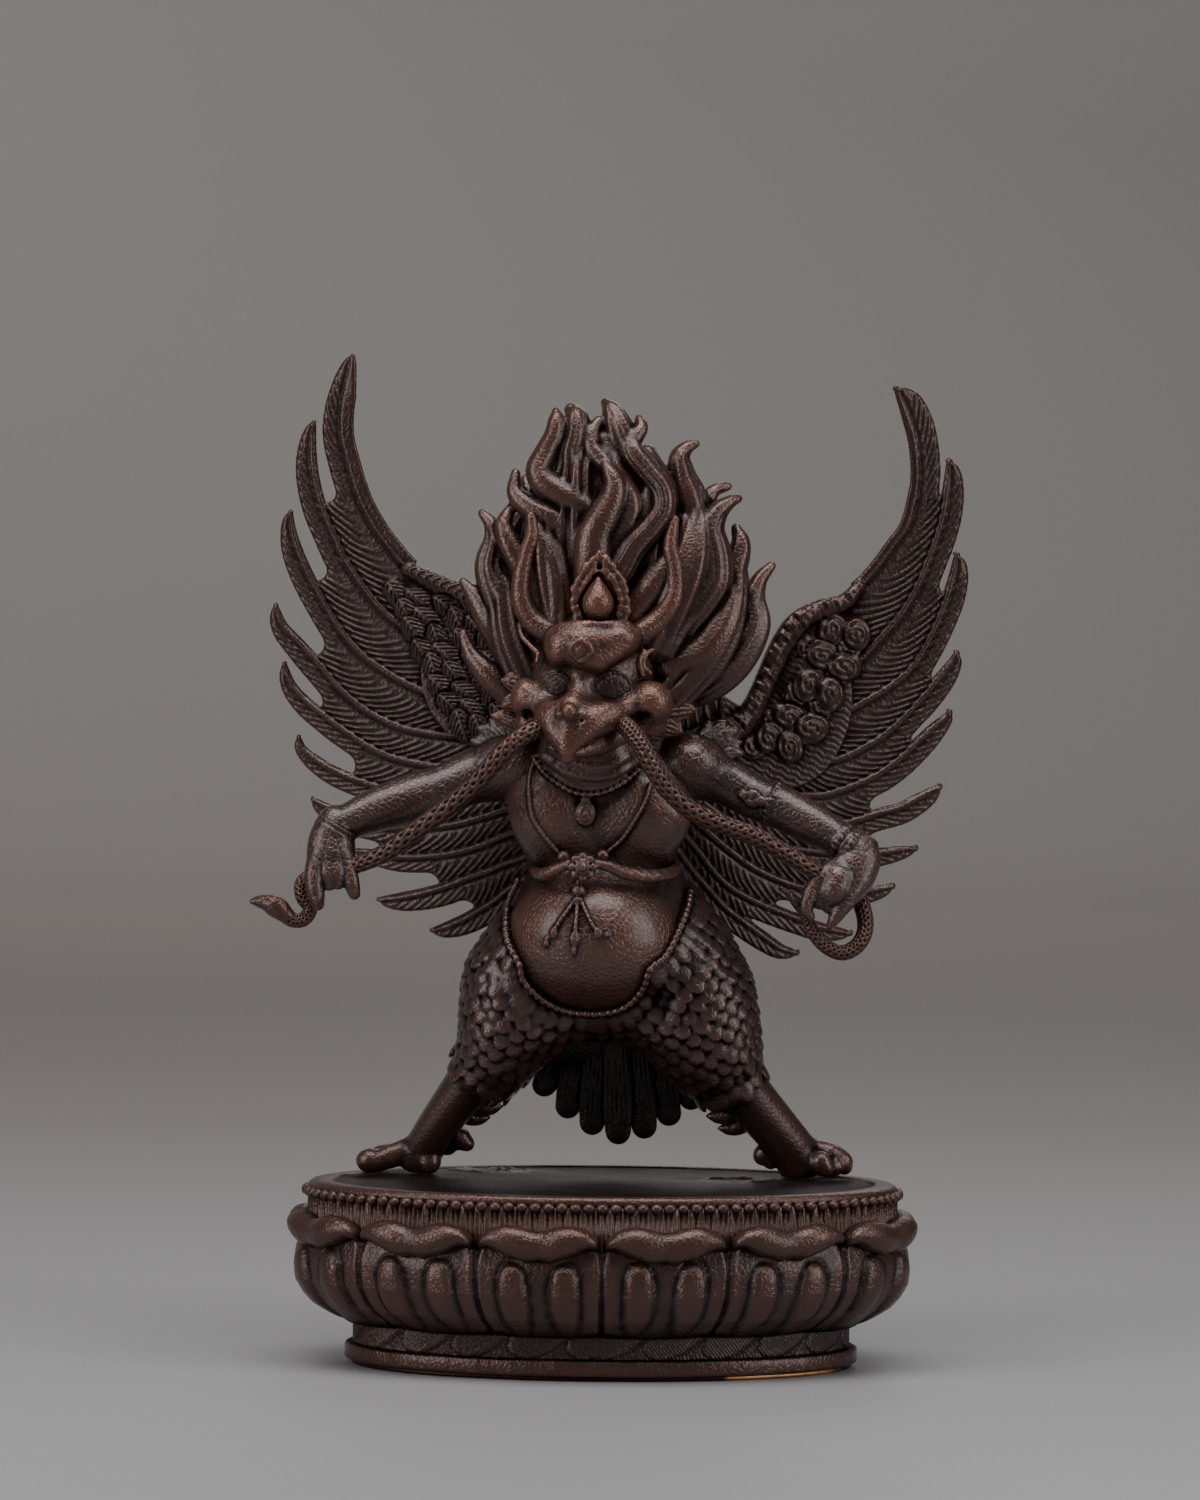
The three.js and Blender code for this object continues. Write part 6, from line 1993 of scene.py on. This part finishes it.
def ovalCovert(x, z, front, centre, heading, long, wide, lift, kind):
    # a small covert: a leaf with a central vein and herringbone barbs, or a swirled shell
    angle = math.radians(heading)
    along = (x - centre[0]) * math.cos(angle) + (z - centre[1]) * math.sin(angle)
    across = -(x - centre[0]) * math.sin(angle) + (z - centre[1]) * math.cos(angle)
    near = (np.abs(along) < long * 1.2) & (np.abs(across) < wide * 1.3)
    a, c = along[near], across[near]
    if kind == "leaf":
        width = wide * np.sqrt(np.clip(1 - np.abs(a / long) ** 2.2, 0.0, 1))
        inside = np.abs(c) < width
        dome = np.sqrt(np.clip(1 - (a / long) ** 2 - (c / wide) ** 2, 0, 1)) * 0.35
        vein = 0.14 * np.exp(-((c / 0.18) ** 2))
        wave = np.sin((a + 1.3 * np.abs(c)) / 0.74 * 2 * math.pi)
        ribs = 0.14 * np.sign(wave) * np.abs(wave) ** 0.7
        ribs = ribs * (np.abs(c) > 0.25)
        rim = -0.14 * np.exp(-(((width - np.abs(c)) / 0.12) ** 2))
        height = lift + dome + vein + ribs + rim
    else:
        far = np.hypot(a / long, c / wide)
        inside = far < 1
        swirl = np.arctan2(c, a)
        dome = np.sqrt(np.clip(1 - far**2, 0, 1)) * 0.8
        phase = (far * 2.3 + swirl / (2 * math.pi)) * 2 * math.pi
        rings = 0.11 * np.cos(phase + 0.8 * np.sin(2 * swirl + heading))
        rings += 0.1 * np.cos(5 * swirl + heading) * far
        height = lift + dome + rings
    new = front[near]
    front[near] = np.where(inside, np.maximum(height, new * 0.4), new)
    return front


def leftCoverts(x, z, front, outline):
    # feather-scaled arm, then two columns of leaf-shaped coverts that overlap downwards
    rng = np.random.default_rng(61)
    arm = (
        ((-8.6, 60.0), 2.6), ((-12.6, 67.6), 2.6), ((-16.0, 71.4), 2.2), ((-19.4, 73.4), 1.7),
        ((-22.6, 74.9), 1.2), ((-25.4, 76.2), 0.9),
    )
    front, outline = armOf(x, z, front, outline, arm, scaly=True)
    ground = (np.hypot((x + 15.5) / 8.2, (z - 63.5) / 9.6) < 1) & (outline < 0)
    front = np.where(ground, np.maximum(front, 0.7), front)
    body = np.hypot((x + 13) / 8.0, (z - 60) / 10.0) - 1
    outline = softMin(outline, body * 6.0, 0.8)
    along, above = zip(*sorted(point for point, girth in arm))
    for i in range(8):
        for j in range(4):
            cx = -26.6 + 1.15 * i + 2.7 * j + rng.uniform(-0.25, 0.25)
            cz = 72.8 - 2.3 * i + 0.6 * j - 1.1 * (j % 2) + rng.uniform(-0.25, 0.25)
            heading = 127 + rng.uniform(-18, 18)
            if cz < np.interp(cx, along, above) - 1.0 and cx < -11:
                lift = 0.55 + 0.1 * ((i + j) % 3)
                front = ovalCovert(x, z, front, (cx, cz), heading, 2.3, 1.55, lift, "leaf")
    return front, trimmed(x, z, outline, arm, -1)


def rightCoverts(x, z, front, outline):
    # knobbly arm and two rows of swirled shells
    arm = (
        ((10.0, 54.0), 2.4), ((14.0, 55.6), 2.2), ((16.9, 57.2), 1.7), ((18.9, 60.2), 1.45),
        ((20.4, 63.6), 1.45), ((21.9, 67.0), 1.5), ((23.9, 69.9), 1.5), ((26.8, 71.6), 1.3),
        ((29.8, 72.6), 1.1), ((31.8, 74.6), 0.8),
    )
    body = np.hypot((x - 20.5) / 9.0, (z - 57.5) / 9.0) - 1
    outline = softMin(outline, body * 6.0, 0.8)
    ground = (np.hypot((x - 22.5) / 8.5, (z - 60.5) / 11.5) < 1) & (outline < 0)
    zigzag = np.abs(((x - 0.3 * z) / 1.9) % 1 - 0.5)
    arcs = 0.05 * np.cos((z + 0.5 * x + 0.7 * zigzag) / 0.85 * 2 * math.pi)
    front = np.where(ground, 0.75 + arcs, front)
    shells = (
        (30.4, 66.6, 1.4), (28.9, 62.8, 1.4), (26.9, 59.0, 1.45), (24.6, 56.0, 1.4), (25.3, 66.9, 1.3),
        (23.4, 60.4, 1.4), (20.9, 57.4, 1.35), (18.4, 54.2, 1.4), (28.2, 69.0, 1.75),
        (31.4, 68.5, 1.65), (27.1, 65.8, 1.8), (29.9, 64.4, 1.75), (25.4, 62.1, 1.85),
        (28.1, 61.0, 1.8), (22.9, 58.1, 1.8), (25.8, 56.7, 1.8), (20.4, 55.4, 1.7), (23.0, 54.2, 1.6),
    )
    for i, (cx, cz, size) in enumerate(shells):
        lift = 0.6 + 0.16 * (i % 2)
        front = ovalCovert(x, z, front, (cx, cz), 30 + 47 * i, size * 1.32, size * 1.12, lift, "shell")
    front, outline = armOf(x, z, front, outline, arm, scaly=False)
    return front, trimmed(x, z, outline, arm, 1)


def trimmed(x, z, outline, arm, side):
    # nothing of the wing stands beyond its leading edge, between the arm and the hair
    walk, away, length = alongShaft([point for point, girth in arm], x, z, side)
    steps = np.linspace(0, length, len(arm))
    girth = np.interp(walk, steps, [girth for point, girth in arm])
    beyond = (walk > 0.3 * length) & (walk < length - 0.6) & (away < -girth) & (away > -9)
    return np.where(beyond, np.maximum(outline, -away - girth), outline)


def armOf(x, z, front, outline, arm, scaly):
    # the bone of the wing along its leading edge
    points = smoothLine([(*point, girth) for point, girth in arm], 90)
    away = np.full_like(x, 9.0)
    girth = np.full_like(x, 1.0)
    walk = np.zeros_like(x)
    steps = np.concatenate([[0], np.cumsum(np.linalg.norm(np.diff(points[:, :2], axis=0), axis=1))])
    for (px, pz, size), step in zip(points, steps):
        far = np.hypot(x - px, z - pz)
        closer = far < away
        away = np.where(closer, far, away)
        girth = np.where(closer, size, girth)
        walk = np.where(closer, step, walk)
    outline = softMin(outline, away - girth, 0.5)
    share = np.clip(away / girth, 0, 1)
    roof = 0.5 + np.sqrt(1 - share**2) * girth * 0.95
    if scaly:
        roof = roof + 0.14 * np.cos((walk + away * 0.9) / 1.05 * 2 * math.pi) * (share < 0.95)
    else:
        roof = roof + 0.15 * np.cos((walk + 0.6 * np.sin(walk * 0.9)) / 2.2 * 2 * math.pi + 1.4 * away)
        roof = roof + 0.12 * np.cos(walk / 0.9 + x * 4) * np.cos(z * 3.7)
    return np.where(away < girth, np.maximum(front, roof), front), outline


# Stage, light and camera


def makeStage():
    look = {"front": -2.0, "curveFrom": 1.0, "curve": 0.6, "tall": 1.8, "wide": 2.4}
    turns = np.linspace(0, math.pi / 2, 24)
    line = [(look["front"], 0.0)]
    line += [
        (
            look["curveFrom"] + look["curve"] * math.sin(t), look["curve"] * (1 - math.cos(t)),
        ) for t in turns
    ]
    line.append((line[-1][0], look["tall"]))
    points = [(side * look["wide"], y, z) for y, z in line for side in (-1, 1)]
    faces = [(2 * i, 2 * i + 1, 2 * i + 3, 2 * i + 2) for i in range(len(line) - 1)]
    mesh = bpy.data.meshes.new("sweep")
    mesh.from_pydata(points, [], faces)
    sweep = bpy.data.objects.new("sweep", mesh)
    bpy.context.collection.objects.link(sweep)
    for face in mesh.polygons:
        face.use_smooth = True
    finish, tree, shader, place = newFinish("paleGround")
    # a board whose colour is painted light and shade: pale in front, falling off to a painted shadow band
    # where the floor bends into the wall, warm grey behind, and darker towards the right as painted falloff
    across, back, up = (place.node("ShaderNodeSeparateXYZ", output=i, Vector=place) for i in range(3))
    reach = ((back + up) * 0.5 + 0.1).clamp()
    # stops of the painted light up the board; the dip between 0.26 and 0.4 is the painted shadow band at
    # the bend
    stops = (
        (0.05, (0.31, 0.3, 0.31)), (0.13, (0.26, 0.25, 0.26)), (0.19, (0.23, 0.22, 0.22)),
        (0.26, (0.2, 0.18, 0.17)), (0.33, (0.19, 0.17, 0.16)), (0.4, (0.2, 0.18, 0.17)),
        (0.46, (0.24, 0.21, 0.2)), (0.54, (0.3, 0.27, 0.25)), (0.65, (0.36, 0.33, 0.31)),
        (0.75, (0.39, 0.36, 0.34)), (1.0, (0.49, 0.46, 0.44)),
    )
    tone = reach.node("ShaderNodeValToRGB", settings={"stops": stops}, Fac=reach)
    # painted light falloff: the board darkens towards the right
    paintedSideFalloff = 1.0 - across * 0.55
    grey = paintedSideFalloff.node("ShaderNodeCombineColor", Red=paintedSideFalloff, Green=paintedSideFalloff, Blue=paintedSideFalloff)
    tone = place.mixed(1.0, tone, grey, "MULTIPLY")
    tree.links.new(tone.socket, shader.inputs["Base Color"])
    shader.inputs["Roughness"].default_value = 0.55
    mesh.materials.append(finish)


def makeLight(name, place, aim, size, power):
    light = bpy.data.lights.new(name, "AREA")
    light.shape = "RECTANGLE"
    light.size, light.size_y = size
    light.energy = power
    lamp = bpy.data.objects.new(name, light)
    lamp.location = place
    lamp.rotation_euler = (Vector(aim) - Vector(place)).to_track_quat("-Z", "Y").to_euler()
    bpy.context.collection.objects.link(lamp)


def makeCamera():
    look = {
        "eye": Vector((-0.0009, -0.9, 0.112)),
        "aim": Vector((-0.0009, 0.0, 0.077)),
        "lens": 172.94,  # on a 36 mm long side
        "roll": 0.6,
    }
    camera = bpy.data.cameras.new("camera")
    camera.sensor_width = 36.0
    camera.lens = look["lens"]
    camera.clip_start, camera.clip_end = 0.01, 20
    holder = bpy.data.objects.new("camera", camera)
    holder.location = look["eye"]
    turn = (look["aim"] - look["eye"]).to_track_quat("-Z", "Y")
    holder.rotation_euler = (
        turn.to_matrix() @ Matrix.Rotation(math.radians(look["roll"]), 3, "Z")
    ).to_euler()
    bpy.context.collection.objects.link(holder)
    bpy.context.scene.camera = holder


def makeWorld():
    world = bpy.data.worlds.new("room")
    bpy.context.scene.world = world
    world.use_nodes = True
    world.node_tree.nodes["Background"].inputs["Color"].default_value = (0.5, 0.5, 0.52, 1)
    world.node_tree.nodes["Background"].inputs["Strength"].default_value = 0.25


makeCamera()
makeWorld()
makeStage()
makeLight("above", (0.0, -0.25, 0.95), (0, 0, 0.06), (0.9, 0.6), 9.0)
makeLight("left", (-0.85, -0.55, 0.45), (0, 0, 0.07), (0.5, 0.8), 5.0)
makeLight("right", (0.85, -0.45, 0.4), (0, 0, 0.07), (0.5, 0.8), 4.0)
makeLight("behind", (0.3, 1.1, 0.75), (0, 0, 0.07), (0.7, 0.5), 1.5)
report("stage, light and camera")

skinFinish = patina("skinPatina", worn=0.6, cool=0.4, grain=0.55, sheen=0.6, rubbed=0.17, matt=0.04)
armFinish = patina("armPatina", worn=0.5, cool=0.5, grain=0.55, sheen=0.6)
faceFinish = patina("facePatina", worn=0.9, cool=0.0, grain=0.4, depth=0.75, sheen=0.3, rubbed=0.22)
# the eyes' finish is darkened halfway to near black: painted shade for the shadow under the brow
eyeFinish = patina("eyePatinaPaintedShade", worn=0.6, cool=0.0, grain=0.4, dark=0.5, sheen=0.15)
hairFinish = patina("hairPatina", worn=0.38, cool=0.3, grain=0.3, depth=0.9, sheen=0.4, rubbed=0.03)
scaleFinish = patina("scalePatina", worn=0.38, cool=0.55, grain=0.3, depth=0.95, sheen=0.42)
wingFinish = patina("wingPatina", worn=0.3, cool=0.15, grain=0.25, dark=0.75, depth=0.6, sheen=0.2)
tailFinish = patina("tailPatina", worn=0.25, cool=0.1, grain=0.3, dark=0.25, depth=1.3, sheen=0.1)
snakeFinish = patina("snakePatina", worn=0.45, cool=0.15, grain=0.35, rubbed=0.1)
plinthFinish = patina("plinthPatina", worn=0.3, cool=0.6, grain=0.35, depth=0.5, sheen=0.2, matt=0.06)
makeHair(hairFinish)
makeHead(faceFinish, eyeFinish)
makeTorso(skinFinish)
makeArms(armFinish)
makeSnake(snakeFinish)
makeLegs(scaleFinish)
makeTail(tailFinish)
makeWing("wing_left", leftWing, leftCoverts, wingFinish)
makeWing("wing_right", rightWing, rightCoverts, wingFinish)
makeLotus(plinthFinish)
makeTrim(plinthFinish)
makePlate(bareCopper())
